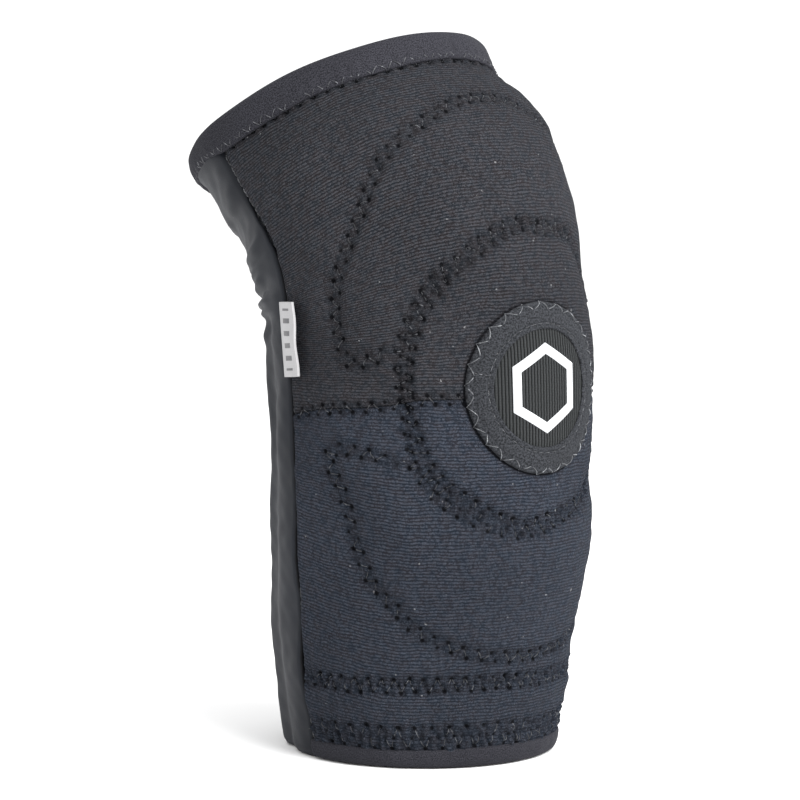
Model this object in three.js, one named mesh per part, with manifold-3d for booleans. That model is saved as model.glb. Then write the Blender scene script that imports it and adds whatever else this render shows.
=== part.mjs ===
// Slip-on padded elbow sleeve, as worn for cycling, skating and sparring.
//
// A pre-curved tube of cloth. The outer half is a heavy woven panel over three foam pads (a round
// elbow cap, an upper-arm arch and a forearm arch), and the inner half is one smooth stretch
// panel. Soft elastic hems close both openings. A round patch sits over the elbow cap and a small
// folded label is sewn into one side seam.
//
// Frame: +Z up, the forearm opening rests on z = 0 and the elbow cap faces -Y. The upper-arm half
// leans towards +Y, the way an arm bends. The design centreline is written with its foot at
// y = 0, and the outer group moves it so that the origin is under the middle of the whole part.
//
// Every layer is a sheet between two offsets from the outer surface, measured inwards in mm.

import * as THREE from "three";
import { mergeVertices } from "three/addons/utils/BufferGeometryUtils.js";
import Module from "manifold-3d";

const wasm = await Module();
wasm.setup();

// ---------- driving dimensions, mm and degrees ----------
const LENGTH = 217.9; // centreline from the forearm rim to the upper-arm rim
const BEND = 42.2; // pre-curve between forearm and upper arm
const BEND_S = 159.2; // centreline station of the crook
const BEND_HALF = 33.3; // half the length over which the tube turns
const FOOT_Y = 4.3; // centreline of the forearm opening in the design frame
const RIM_TILT = -13.9; // slope of the upper-arm opening against its own section
const RIM_TILT_RUN = 57.2; // length over which that slope builds up
const CENTRE = [1.93, -17.98]; // moves the design frame so the origin is under the middle of the part

// outer surface: station, half width, front depth, back depth
const STATIONS = [0, 19.1, 47.6, 76.2, 104.8, 128.7, 152.5, 176.3, 200.1, 224, 243];
const HALF_WIDTH = [43.4, 47.0, 49.7, 51.4, 52.4, 53.5, 53.7, 53.5, 51.8, 51.0, 50.0];
const FRONT_DEPTH = [45.2, 47.4, 53.4, 58.5, 58.1, 57.4, 55.4, 58.5, 55.6, 57.9, 58.7];
const BACK_DEPTH = [47.8, 47.8, 46.3, 43.7, 42.0, 43.1, 45.7, 46.9, 48.9, 53.0, 55.2];

const SKIN = 1.5; // woven panel
const STRETCH = 1.6; // smooth stretch panel
const LINING = 1.0;
const PLAY = 0.8; // room between faceted layers
const SEAM = 94; // side seams, degrees round from the front
const SEAM_TOP = 99; // where they end up at the upper hem
const SEAM_GAP = 0.5; // half the seam's width, degrees

const MID_SEAM = 117.5; // station where the two woven panels meet
const CAP_S = 117.5; // centre of the elbow cap
const CAP_R = 36.6; // foam cap radius
const CAP_STITCH_R = 43.3; // outer row of stitching round the cap
const CAP_T = 12.5; // cap thickness at its crown
const PAD_T = 6.5; // arch pads at their crown
const EDGE_T = 2.4; // foam thickness at every edge
const BASE_T = 0.4; // glue layer where there is no foam
const PAD_ARC = 45; // the pads are laid out with this many mm to one radian round the front

const LOWER_HEM = 5.7; // height of the forearm edge band
const UPPER_HEM = 206; // station where the upper-arm band starts
const BAND = 2.4;
const GRIPPER = 1.0;

const BADGE_S = [94, 142.4]; // lowest and highest station of the badge
const BADGE_ARC = 53; // mm of arc for one radian round the front under the badge
const BADGE_R = 27.0;
const BADGE_DISC_R = 18.9;
const EMBLEM_R = 14.3; // corner radius of the six-sided ring
const EMBLEM_W = 3.5; // its stroke, corner to corner

const LABEL_S = [124, 148.5];
const LABEL_W = 9.6;
const LABEL_T = 1.0;
const LABEL_LEAN = 14; // degrees that the label stands off the side wall

const rad = THREE.MathUtils.degToRad;
const clamp01 = (t) => Math.min(1, Math.max(0, t));
const smooth = (t) => t * t * (3 - 2 * t);

// monotone cubic through the stations
function monotone(xs, ys) {
  const n = xs.length,
    h = [],
    d = [],
    m = new Array(n).fill(0);
  for (let i = 0; i < n - 1; i++) {
    h.push(xs[i + 1] - xs[i]);
    d.push((ys[i + 1] - ys[i]) / h[i]);
  }
  for (let i = 1; i < n - 1; i++)
    if (d[i - 1] * d[i] > 0) {
      const w1 = 2 * h[i] + h[i - 1],
        w2 = h[i] + 2 * h[i - 1];
      m[i] = (w1 + w2) / (w1 / d[i - 1] + w2 / d[i]);
    }
  m[0] = d[0];
  m[n - 1] = d[n - 2];
  return (x) => {
    let i = 0;
    while (i < n - 2 && x > xs[i + 1]) i++;
    const t = clamp01((x - xs[i]) / h[i]),
      t2 = t * t,
      t3 = t2 * t;
    return (
      (2 * t3 - 3 * t2 + 1) * ys[i] +
      (t3 - 2 * t2 + t) * h[i] * m[i] +
      (3 * t2 - 2 * t3) * ys[i + 1] +
      (t3 - t2) * h[i] * m[i + 1]
    );
  };
}
const halfWidth = monotone(STATIONS, HALF_WIDTH);
const frontDepth = monotone(STATIONS, FRONT_DEPTH);
const backDepth = monotone(STATIONS, BACK_DEPTH);

// centreline, walked in short steps
const STEP = 0.5;
const LINE = [[FOOT_Y, 0]];
const leanAt = (s) => rad(BEND) * smooth(clamp01((s - (BEND_S - BEND_HALF)) / (2 * BEND_HALF)));
for (let s = 0; s < 260; s += STEP) {
  const a = (leanAt(s) + leanAt(s + STEP)) / 2,
    [y, z] = LINE[LINE.length - 1];
  LINE.push([y + Math.sin(a) * STEP, z + Math.cos(a) * STEP]);
}
function centre(s) {
  const i = Math.min(LINE.length - 2, Math.max(0, Math.floor(s / STEP))),
    t = s / STEP - i;
  return [
    LINE[i][0] + (LINE[i + 1][0] - LINE[i][0]) * t,
    LINE[i][1] + (LINE[i + 1][1] - LINE[i][1]) * t,
  ];
}

const lerpList = (list, t) => {
  const k = t * (list.length - 1),
    i = Math.min(list.length - 2, Math.floor(k + 1e-9));
  return list[i] + (list[i + 1] - list[i]) * (k - i);
};

// a point at station s, phi degrees round from the front (positive towards -X), off mm inwards
function at(s, phi, off) {
  const p = rad(phi),
    c = Math.cos(p),
    a = leanAt(s),
    [y, z] = centre(s);
  const n = ((c > 0 ? frontDepth(s) : backDepth(s)) - off) * c;
  const rise = clamp01((s - (LENGTH - RIM_TILT_RUN)) / RIM_TILT_RUN);
  const along = n * rise * rise * Math.tan(rad(RIM_TILT));
  return new THREE.Vector3(
    -(halfWidth(s) - off) * Math.sin(p),
    y - Math.cos(a) * n + Math.sin(a) * along,
    z + Math.sin(a) * n + Math.cos(a) * along,
  );
}
const seamAt = (s) => SEAM + (SEAM_TOP - SEAM) * smooth(clamp01((s - 165) / 35));

// ---------- padding thickness over the front ----------
// Outer edge of each arch pad, as radius from the cap centre against angle from the centreline.
const UPPER_EDGE = monotone([0, 12, 20, 28, 36, 49, 56, 63, 72, 78], [64, 64.2, 64.4, 65.6, 65.8, 64.6, 64.6, 63.4, 58.6, 54.5]);
const LOWER_EDGE = monotone([0, 11, 22, 31.5, 41, 49, 59.6, 69, 74], [83.8, 83.6, 82.6, 78.8, 74.9, 70.8, 65.4, 63, 62]);
const UPPER_LAST = 78,
  LOWER_LAST = 74;
const INNER_EDGE = CAP_STITCH_R + 0.9;
function crown(t) {
  return 1 - Math.pow(Math.abs(2 * t - 1), 2.5);
}
function archT(r, psi, edge, last) {
  const outer = edge(Math.min(Math.abs(psi), last));
  if (r < INNER_EDGE || r > outer) {
    const out = Math.min(Math.abs(r - INNER_EDGE), Math.abs(r - outer));
    return Math.max(0, EDGE_T * (1 - out / 10));
  }
  return EDGE_T + (PAD_T - EDGE_T) * crown((r - INNER_EDGE) / (outer - INNER_EDGE));
}
function padding(s, phi) {
  const dx = rad(phi) * PAD_ARC,
    ds = s - CAP_S,
    r = Math.hypot(dx, ds);
  let t = 0;
  if (r <= CAP_R) t = EDGE_T + (CAP_T - EDGE_T) * (1 - Math.pow(r / CAP_R, 2.2));
  else t = Math.max(0, EDGE_T * (1 - (r - CAP_R) / 10));
  const up = Math.abs(THREE.MathUtils.radToDeg(Math.atan2(dx, ds)));
  const down = 180 - up;
  const fade = (a, last) => clamp01(1 - (a - last) / 8);
  if (up < 90) t = Math.max(t, archT(r, up, UPPER_EDGE, UPPER_LAST) * fade(up, UPPER_LAST));
  if (down < 90) t = Math.max(t, archT(r, down, LOWER_EDGE, LOWER_LAST) * fade(down, LOWER_LAST));
  return Math.max(BASE_T, t);
}
const FOAM_OUT = SKIN + PLAY;
const liningOut = (s, phi) => FOAM_OUT + padding(s, phi) + PLAY;

// ---------- solids ----------
// Warps a unit shape by a function and makes sure that its faces point out.
function warp(geometry, map) {
  const g = geometry.index ? geometry.toNonIndexed() : geometry;
  const p = g.getAttribute("position"),
    v = new THREE.Vector3();
  for (let i = 0; i < p.count; i++) {
    v.fromBufferAttribute(p, i);
    const w = map(v);
    p.setXYZ(i, w.x, w.y, w.z);
  }
  const bare = new THREE.BufferGeometry().setAttribute("position", p);
  const merged = mergeVertices(bare, 1e-3),
    q = merged.getAttribute("position"),
    idx = Array.from(merged.index.array);
  const tri = [];
  let volume = 0;
  const a = new THREE.Vector3(),
    b = new THREE.Vector3(),
    c = new THREE.Vector3();
  for (let i = 0; i < idx.length; i += 3) {
    const [x, y, z] = [idx[i], idx[i + 1], idx[i + 2]];
    if (x === y || y === z || z === x) continue;
    tri.push(x, y, z);
    a.fromBufferAttribute(q, x);
    b.fromBufferAttribute(q, y);
    c.fromBufferAttribute(q, z);
    volume += a.dot(b.cross(c));
  }
  if (volume < 0)
    for (let i = 0; i < tri.length; i += 3) [tri[i + 1], tri[i + 2]] = [tri[i + 2], tri[i + 1]];
  merged.setIndex(tri);
  merged.computeVertexNormals();
  return merged;
}
// Every layer of the front shares these stations and columns, so that facets stay parallel.
const ROWS = [0, 5.7, 12, 20, 32, 44, 56, 68, 80, 92, 104, 117.5, 128, 138, 148, 159.2, 169, 178, 187, 196, 206, 212, 217.9];
const COLUMNS = [-80, -70, -60, -50, -40, -30, -20, -10, 0, 10, 20, 30, 40, 50, 60, 70, 80];
const BACK_COLUMNS = 12;
const rows = (a, b) => [a, ...ROWS.filter((s) => s > a + 1 && s < b - 1), b];
// sheet over a list of stations, between two angles that may depend on the station
function sheet(stations, phi0, phi1, outer, inner) {
  const front = phi1(100) - phi0(100) > 150 && phi0(100) < 0;
  const n = front ? COLUMNS.length + 1 : phi1(100) - phi0(100) > 20 ? BACK_COLUMNS : 1;
  const box = new THREE.BoxGeometry(1, 1, 1, n, 1, stations.length - 1);
  // turn the diagonals of the inner face so that they match those of the outer face
  const { start, count } = box.groups[3],
    ix = box.index;
  for (let i = start; i < start + count; i += 6) {
    const [a, b, d, c] = [ix.getX(i), ix.getX(i + 1), ix.getX(i + 2), ix.getX(i + 4)];
    [a, b, c, a, c, d].forEach((x, j) => ix.setX(i + j, x));
  }
  return warp(box, (v) => {
    const s = lerpList(stations, v.z + 0.5),
      i = Math.round((v.x + 0.5) * n),
      p0 = phi0(s),
      p1 = phi1(s),
      phi = i === 0 ? p0 : i === n ? p1 : front ? COLUMNS[i - 1] : p0 + ((p1 - p0) * i) / n;
    return at(s, phi, v.y > 0 ? outer(s, phi) : inner(s, phi));
  });
}
// closed band right round the tube
function band(stations, outer, inner, columns = 36) {
  const n = stations.length,
    profile = [];
  for (let i = 0; i < n; i++) profile.push(new THREE.Vector2(3, i));
  for (let i = n - 1; i >= 0; i--) profile.push(new THREE.Vector2(2, i));
  profile.push(profile[0].clone());
  const lathe = new THREE.LatheGeometry(profile, columns);
  return warp(lathe, (v) => {
    const phi = THREE.MathUtils.radToDeg(Math.atan2(v.x, v.z)),
      r = Math.hypot(v.x, v.z),
      s = stations[Math.round(v.y)];
    return at(s, phi, r > 2.5 ? outer(s, phi) : inner(s, phi));
  });
}
// polar layout of the pads: station and angle at radius r, psi round from straight up
const polar = (r, psi) => [
  CAP_S + r * Math.cos(psi),
  THREE.MathUtils.radToDeg((r * Math.sin(psi)) / PAD_ARC),
];
// polar layout of the badge, measured along the surface so that it is a true circle of cloth
const FRONT_ARC = [0];
for (let s = 0; s < 200; s += STEP)
  FRONT_ARC.push(FRONT_ARC[FRONT_ARC.length - 1] + at(s, 0, 0).distanceTo(at(s + STEP, 0, 0)));
const arcOf = (s) => lerpList(FRONT_ARC, s / STEP / (FRONT_ARC.length - 1));
const BADGE_MID = (arcOf(BADGE_S[0]) + arcOf(BADGE_S[1])) / 2;
const polarBadge = (r, psi) => {
  const v = BADGE_MID + r * Math.cos(psi),
    i = FRONT_ARC.findIndex((x) => x > v);
  return [
    (i - (FRONT_ARC[i] - v) / (FRONT_ARC[i] - FRONT_ARC[i - 1])) * STEP,
    THREE.MathUtils.radToDeg((r * Math.sin(psi)) / BADGE_ARC),
  ];
};
// round piece on the front, from polar profile points [radius, offset function]
function round(profile, columns, layout = polar) {
  const points = profile.map(([r], i) => new THREE.Vector2(r, i));
  const lathe = new THREE.LatheGeometry(points, columns);
  const closed = profile[0][0] > 0;
  return warp(lathe, (v) => {
    const i = Math.round(v.y) % (closed ? profile.length - 1 : profile.length),
      r = profile[Math.round(v.y)][0],
      psi = Math.atan2(v.x, v.z),
      [s, phi] = layout(Math.hypot(v.x, v.z) < 1e-6 ? 0 : r, psi);
    return at(s, phi, profile[i][1](s, phi));
  });
}
// straight-through plug in the outline of an arch pad
function archPlug(edge, last, up, columns) {
  const box = new THREE.BoxGeometry(1, 1, 1, columns, 1, 4);
  return warp(box, (v) => {
    const a = v.x * 2 * last,
      r = INNER_EDGE + (edge(Math.abs(a)) - 0.8 - INNER_EDGE) * (v.z + 0.5),
      [s, phi] = polar(r, up ? rad(a) : Math.PI - rad(a));
    return at(s, phi, v.y > 0 ? -4 : 24);
  });
}
// plug in the outline of the cap
const capPlug = () => round([[0, () => -4], [CAP_R / 2, () => -4], [CAP_R, () => -4], [CAP_R, () => 24], [CAP_R / 2, () => 24], [0, () => 24]], 32);

const solid = (g) =>
  new wasm.Manifold(
    new wasm.Mesh({
      numProp: 3,
      vertProperties: new Float32Array(g.getAttribute("position").array),
      triVerts: new Uint32Array(g.index.array),
    }),
  );
// part of a layer that lies inside a plug
function cut(layer, plug) {
  const out = solid(layer).intersect(solid(plug)).getMesh();
  const g = new THREE.BufferGeometry();
  g.setAttribute("position", new THREE.BufferAttribute(new Float32Array(out.vertProperties), out.numProp));
  g.setIndex(Array.from(out.triVerts));
  g.computeVertexNormals();
  return g;
}

// ---------- cloths and foams ----------
const woven = { color: 0x24252b, roughness: 0.92, metalness: 0 };
const stretch = { color: 0x2e2f34, roughness: 0.7, metalness: 0 };
const knit = { color: 0x26252b, roughness: 0.85, metalness: 0 };
const inside = { color: 0x1b1b1f, roughness: 0.95, metalness: 0 };
const foamDense = { color: 0x33343a, roughness: 0.8, metalness: 0 };
const foamSoft = { color: 0x4a4b50, roughness: 0.9, metalness: 0 };
const elastic = { color: 0x17181b, roughness: 0.6, metalness: 0 };
const ribbed = { color: 0x1f2124, roughness: 0.85, metalness: 0 };
const print = { color: 0xe9ebee, roughness: 0.5, metalness: 0 };
const satin = { color: 0xe6e4e6, roughness: 0.6, metalness: 0 };

const k = (x) => () => x;
function mesh(name, geometry, finish) {
  const m = new THREE.Mesh(geometry, new THREE.MeshStandardMaterial(finish));
  m.name = name;
  return m;
}
const FLEX_LO = BEND_S - 0.3,
  FLEX_HI = BEND_S + 0.3;
const frontFrom = (s) => -(seamAt(s) - SEAM_GAP),
  frontTo = (s) => seamAt(s) - SEAM_GAP,
  backFrom = (s) => seamAt(s) + SEAM_GAP,
  backTo = (s) => 360 - seamAt(s) - SEAM_GAP;
const LIN = 90; // the lining stops short of the side seams
const liningIn = (s, phi) => liningOut(s, phi) + LINING;
const foam = (from, to) => sheet(rows(from, to), k(-LIN), k(LIN), (s, p) => FOAM_OUT, (s, p) => FOAM_OUT + padding(s, p));
const tapes = (name, from, to) => [
  mesh("seam_tape_left_" + name, sheet(rows(from, to), (s) => seamAt(s) - 3, (s) => seamAt(s) + 5, k(2.3), k(3.1)), knit),
  mesh("seam_tape_right_" + name, sheet(rows(from, to), (s) => -seamAt(s) - 5, (s) => -seamAt(s) + 3, k(2.3), k(3.1)), knit),
];
const HEM_IN = FOAM_OUT + BASE_T + PLAY + LINING;

const forearm = new THREE.Group();
forearm.name = "forearm_sleeve";
forearm.add(
  mesh("front_panel_lower", sheet(rows(LOWER_HEM + 0.4, MID_SEAM - 0.2), frontFrom, frontTo, k(0), k(SKIN)), woven),
  mesh("front_panel_elbow", sheet(rows(MID_SEAM + 0.2, FLEX_LO), frontFrom, frontTo, k(0), k(SKIN)), woven),
  mesh("back_panel_lower", sheet(rows(0, FLEX_LO), backFrom, backTo, k(0), k(STRETCH)), stretch),
  mesh("lining_lower", sheet(rows(LOWER_HEM + 0.4, FLEX_LO), k(-LIN), k(LIN), liningOut, liningIn), inside),
  mesh("hem_band_lower", sheet([0, LOWER_HEM], frontFrom, frontTo, k(0), k(HEM_IN)), knit),
  mesh("gripper_lower", band([1.2, 5.7, 13.2], gripOut, (s, p) => gripOut(s, p) + GRIPPER), elastic),
  mesh("cap_foam_outer", cut(
    sheet(rows(68, FLEX_LO), k(-LIN), k(LIN), k(FOAM_OUT), (s, p) => FOAM_OUT + 0.45 * padding(s, p) - 0.2), capPlug()), foamDense),
  mesh("cap_foam_inner", cut(
    sheet(rows(68, FLEX_LO), k(-LIN), k(LIN), (s, p) => FOAM_OUT + 0.45 * padding(s, p) + 0.2, (s, p) => FOAM_OUT + padding(s, p)), capPlug()), foamSoft),
  mesh("forearm_pad_foam", cut(foam(20, 117.5), archPlug(LOWER_EDGE, LOWER_LAST, false, 18)), foamSoft),
  ...tapes("lower", 8, FLEX_LO),
  mesh("badge_ring", round(
    [
      [BADGE_DISC_R + 0.4, k(-0.5)],
      [BADGE_R, k(-0.5)],
      [BADGE_R, k(-1.6)],
      [BADGE_DISC_R + 0.4, k(-1.9)],
      [BADGE_DISC_R + 0.4, k(-0.5)],
    ], 32, polarBadge), knit),
  mesh("badge_disc", round(
    [
      [0, k(-0.5)],
      [BADGE_DISC_R * 0.5, k(-0.5)],
      [BADGE_DISC_R, k(-0.5)],
      [BADGE_DISC_R, k(-1.2)],
      [BADGE_DISC_R * 0.5, k(-1.2)],
      [0, k(-1.2)],
    ], 32, polarBadge), ribbed),
  mesh("badge_emblem", hexRing(), print),
);

// inner faces that the elastic tapes are sewn to
function gripOut(s, phi) {
  const a = Math.abs(phi),
    front = FOAM_OUT + BASE_T + PLAY + LINING + 0.4,
    back = STRETCH + 0.5 + 1.4;
  return a < 86 ? Math.max(front, s < 30 ? front : liningOut(s, phi) + LINING + 0.5) : a > 104 ? back : Math.max(front, back);
}
// six-sided ring, printed on the disc
function hexRing() {
  const n = 36,
    hex = (psi) => Math.cos(Math.PI / 6) / Math.cos(((((psi % (Math.PI / 3)) + Math.PI / 3) % (Math.PI / 3)) - Math.PI / 6));
  const profile = [0, 1, 1, 0, 0].map((out, i) => new THREE.Vector2(out ? EMBLEM_R : EMBLEM_R - EMBLEM_W, [0, 0, 1, 1, 0][i]));
  return warp(new THREE.LatheGeometry(profile, n), (v) => {
    const psi = Math.atan2(v.x, v.z),
      [s, phi] = polarBadge(Math.hypot(v.x, v.z) * hex(psi), psi);
    return at(s, phi, v.y > 0.5 ? -1.9 : -1.5);
  });
}

const upperArm = new THREE.Group();
upperArm.name = "upper_arm_sleeve";
upperArm.add(
  mesh("front_panel_upper", sheet(rows(FLEX_HI, UPPER_HEM - 0.4), frontFrom, frontTo, k(0), k(SKIN)), woven),
  mesh("back_panel_upper", sheet(rows(FLEX_HI, UPPER_HEM - 0.4), backFrom, backTo, k(0), k(STRETCH)), stretch),
  mesh("lining_upper", sheet(rows(FLEX_HI, UPPER_HEM - 0.4), k(-LIN), k(LIN), liningOut, liningIn), inside),
  mesh("upper_arm_pad_foam", cut(foam(117.5, 196), archPlug(UPPER_EDGE, UPPER_LAST, true, 18)), foamSoft),
  ...tapes("upper", FLEX_HI, UPPER_HEM - 3),
  mesh("hem_band_upper", band([UPPER_HEM, LENGTH], k(0), k(BAND)), knit),
  mesh("gripper_upper", band([UPPER_HEM + 1, LENGTH - 1.2], k(BAND + 0.4), k(BAND + 0.4 + GRIPPER)), elastic),
);

// the label hinges on the side seam: its group sits on that line, turned to follow it
const low = at(LABEL_S[0], SEAM - 0.2, -0.9),
  high = at(LABEL_S[1], SEAM - 0.2, -0.9);
const label = new THREE.Group();
label.name = "side_label";
label.position.copy(low).lerp(high, 0.5);
const along = high.clone().sub(low).normalize();
label.quaternion.setFromUnitVectors(new THREE.Vector3(0, 0, 1), along);
const flag = mesh("side_label_tab", new THREE.BoxGeometry(LABEL_T, LABEL_W, high.distanceTo(low)), satin);
const leaf = new THREE.Group();
leaf.rotation.z = -rad(LABEL_LEAN);
flag.position.set(-0.1, -LABEL_W / 2 - 0.3, 0);
leaf.add(flag);
label.add(leaf);

const elbowPad = new THREE.Group();
elbowPad.name = "elbow_pad";
elbowPad.position.set(CENTRE[0], CENTRE[1], 0);
forearm.add(label);
elbowPad.add(forearm, upperArm);

export default elbowPad;
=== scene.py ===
# Visual model of a slip-on padded elbow sleeve, in the same frame as its solids.
# Lengths are worked out in millimetres and written to Blender in metres.
import math

import bpy
import numpy as np
from mathutils import Matrix, Vector


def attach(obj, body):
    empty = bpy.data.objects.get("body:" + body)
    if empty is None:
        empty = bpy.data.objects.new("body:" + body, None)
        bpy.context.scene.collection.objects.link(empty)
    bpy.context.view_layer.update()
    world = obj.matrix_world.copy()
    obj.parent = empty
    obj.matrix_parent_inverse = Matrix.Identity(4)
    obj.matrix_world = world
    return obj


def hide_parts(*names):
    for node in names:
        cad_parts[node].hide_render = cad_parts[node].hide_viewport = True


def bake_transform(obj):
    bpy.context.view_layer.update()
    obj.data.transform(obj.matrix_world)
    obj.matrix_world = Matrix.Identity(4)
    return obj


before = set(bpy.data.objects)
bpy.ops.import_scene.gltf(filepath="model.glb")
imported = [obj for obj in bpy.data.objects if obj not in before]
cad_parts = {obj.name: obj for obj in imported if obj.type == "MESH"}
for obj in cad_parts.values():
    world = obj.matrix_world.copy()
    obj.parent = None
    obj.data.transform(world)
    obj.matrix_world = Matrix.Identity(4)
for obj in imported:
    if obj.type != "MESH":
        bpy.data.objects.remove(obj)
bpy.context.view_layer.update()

FINE = 1.0  # grid density, 1 is full quality
rng = np.random.default_rng(7)

# ------------------------------------------------------------------ camera
CENTRE = (1.93, -17.98)
AZ, EL, DIST = math.radians(-40.86), math.radians(5.13), 1106.4
right = Vector((math.cos(AZ), math.sin(AZ), 0))
back = Vector((math.sin(AZ) * math.cos(EL), -math.cos(AZ) * math.cos(EL), math.sin(EL)))
up = Vector((-math.sin(AZ) * math.sin(EL), math.cos(AZ) * math.sin(EL), math.cos(EL)))
target = right * -9.81 + Vector((CENTRE[0], CENTRE[1], 113.9))
cam_data = bpy.data.cameras.new("camera")
cam_data.lens = 152.2
cam_data.sensor_width = 36
cam = bpy.data.objects.new("camera", cam_data)
bpy.context.scene.collection.objects.link(cam)
rot = Matrix((right, up, back)).transposed().to_4x4()
cam.matrix_world = Matrix.Translation((target + back * DIST) / 1000) @ rot
cam_data.clip_start, cam_data.clip_end = 0.05, 30
bpy.context.scene.camera = cam

# ------------------------------------------------------------------ the sleeve's surface
ST = [0, 19.1, 47.6, 76.2, 104.8, 128.7, 152.5, 176.3, 200.1, 224, 243]
HW = [43.4, 47.0, 49.7, 51.4, 52.4, 53.5, 53.7, 53.5, 51.8, 51.0, 50.0]
FD = [45.2, 47.4, 53.4, 58.5, 58.1, 57.4, 55.4, 58.5, 55.6, 57.9, 58.7]
BD = [47.8, 47.8, 46.3, 43.7, 42.0, 43.1, 45.7, 46.9, 48.9, 53.0, 55.2]
LENGTH, BEND, BEND_S, BEND_HALF, FOOT_Y = 217.9, 42.2, 159.2, 33.3, 4.3
RIM_TILT, RIM_TILT_RUN = -13.9, 57.2
SEAM, SEAM_TOP = 94.0, 99.0


def monotone(xs, ys):
    xs, ys = np.array(xs, float), np.array(ys, float)
    h = np.diff(xs)
    d = np.diff(ys) / h
    n = len(xs)
    m = np.zeros(n)
    for i in range(1, n - 1):
        if d[i - 1] * d[i] > 0:
            w1, w2 = 2 * h[i] + h[i - 1], h[i] + 2 * h[i - 1]
            m[i] = (w1 + w2) / (w1 / d[i - 1] + w2 / d[i])
    m[0], m[-1] = d[0], d[-1]

    def f(x):
        x = np.asarray(x, float)
        i = np.clip(np.searchsorted(xs, x, side="right") - 1, 0, n - 2)
        t = np.clip((x - xs[i]) / h[i], 0, 1)
        t2 = t * t
        t3 = t2 * t
        return (
            (2 * t3 - 3 * t2 + 1) * ys[i]
            + (t3 - 2 * t2 + t) * h[i] * m[i]
            + (3 * t2 - 2 * t3) * ys[i + 1]
            + (t3 - t2) * h[i] * m[i + 1]
        )

    return f


half_width, front_depth, back_depth = monotone(ST, HW), monotone(ST, FD), monotone(ST, BD)


def step(t):
    t = np.clip(t, 0, 1)
    return t * t * (3 - 2 * t)


def lean(s):
    return math.radians(BEND) * step((np.asarray(s, float) - (BEND_S - BEND_HALF)) / (2 * BEND_HALF))


LS = np.arange(-20, 260.5, 0.5)
_a = (lean(LS[:-1]) + lean(LS[1:])) / 2
LY = np.concatenate([[0], np.cumsum(np.sin(_a) * 0.5)]) + FOOT_Y
LZ = np.concatenate([[0], np.cumsum(np.cos(_a) * 0.5)]) - 20.0


def seam_at(s):
    return SEAM + (SEAM_TOP - SEAM) * step((np.asarray(s, float) - 165) / 35)


def at(s, phi, off=0.0):
    """Points in mm at station s, phi degrees round from the front, off mm inwards."""
    s = np.asarray(s, float)
    p = np.radians(np.asarray(phi, float))
    c, a = np.cos(p), lean(s)
    y, z = np.interp(s, LS, LY), np.interp(s, LS, LZ)
    n = (np.where(c > 0, front_depth(s), back_depth(s)) - off) * c
    rise = np.clip((s - (LENGTH - RIM_TILT_RUN)) / RIM_TILT_RUN, 0, 1.15)
    along = n * rise * rise * math.tan(math.radians(RIM_TILT))
    return np.stack(
        np.broadcast_arrays(
            -(half_width(s) - off) * np.sin(p) + CENTRE[0],
            y - np.cos(a) * n + np.sin(a) * along + CENTRE[1],
            z + np.sin(a) * n + np.cos(a) * along,
        ),
        -1,
    )


def metric(s, phi):
    """mm of surface for one unit of s, and for one degree of phi."""
    ms = np.linalg.norm(at(np.asarray(s) + 0.5, phi) - at(np.asarray(s) - 0.5, phi), axis=-1)
    mp = np.linalg.norm(at(s, np.asarray(phi) + 0.5) - at(s, np.asarray(phi) - 0.5), axis=-1)
    return ms, mp


# ------------------------------------------------------------------ pads and stitch lines
CAP_S, CAP_R, CAP_IN, CAP_OUT, PAD_ARC = 117.5, 36.6, 37.6, 43.3, 45.0
CAP_T, PAD_T, EDGE_T, BASE_T = 12.5, 6.5, 2.4, 0.4
UPPER_EDGE = monotone([0, 12, 20, 28, 36, 49, 56, 63, 72, 78], [64, 64.2, 64.4, 65.6, 65.8, 64.6, 64.6, 63.4, 58.6, 54.5])
LOWER_EDGE = monotone([0, 11, 22, 31.5, 41, 49, 59.6, 69, 74], [83.8, 83.6, 82.6, 78.8, 74.9, 70.8, 65.4, 63, 62])
UPPER_LAST, LOWER_LAST = 78.0, 74.0
INNER_EDGE = CAP_OUT + 0.9
SKIN_T, FOAM_OUT, PLAY = 1.3, 2.3, 0.8


def layout(s, phi):
    dx, ds = np.radians(phi) * PAD_ARC, np.asarray(s, float) - CAP_S
    return np.hypot(dx, ds), np.degrees(np.arctan2(dx, ds))


def from_layout(r, psi):
    """psi in degrees, 0 is straight up, positive towards -X."""
    p = np.radians(psi)
    return CAP_S + r * np.cos(p), np.degrees(r * np.sin(p) / PAD_ARC)


def arch_t(r, psi, edge, last):
    outer = edge(np.minimum(np.abs(psi), last))
    t = (r - INNER_EDGE) / (outer - INNER_EDGE)
    dome = EDGE_T + (PAD_T - EDGE_T) * (1 - np.abs(2 * np.clip(t, 0, 1) - 1) ** 2.5)
    away = np.minimum(np.abs(r - INNER_EDGE), np.abs(r - outer))
    inside = (r >= INNER_EDGE) & (r <= outer)
    flat = np.maximum(0, EDGE_T * (1 - away / 10))
    return np.where(inside, dome, flat) * np.clip(1 - (np.abs(psi) - last) / 8, 0, 1)


def padding(s, phi):
    r, psi = layout(s, phi)
    t = np.where(
        r <= CAP_R,
        EDGE_T + (CAP_T - EDGE_T) * (1 - (np.minimum(r, CAP_R) / CAP_R) ** 2.2),
        np.maximum(0, EDGE_T * (1 - (r - CAP_R) / 10)),
    )
    u = np.abs(psi)
    t = np.maximum(t, np.where(u < 90, arch_t(r, u, UPPER_EDGE, UPPER_LAST), 0))
    t = np.maximum(t, np.where(u > 90, arch_t(r, 180 - u, LOWER_EDGE, LOWER_LAST), 0))
    return np.maximum(BASE_T, t)


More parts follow.
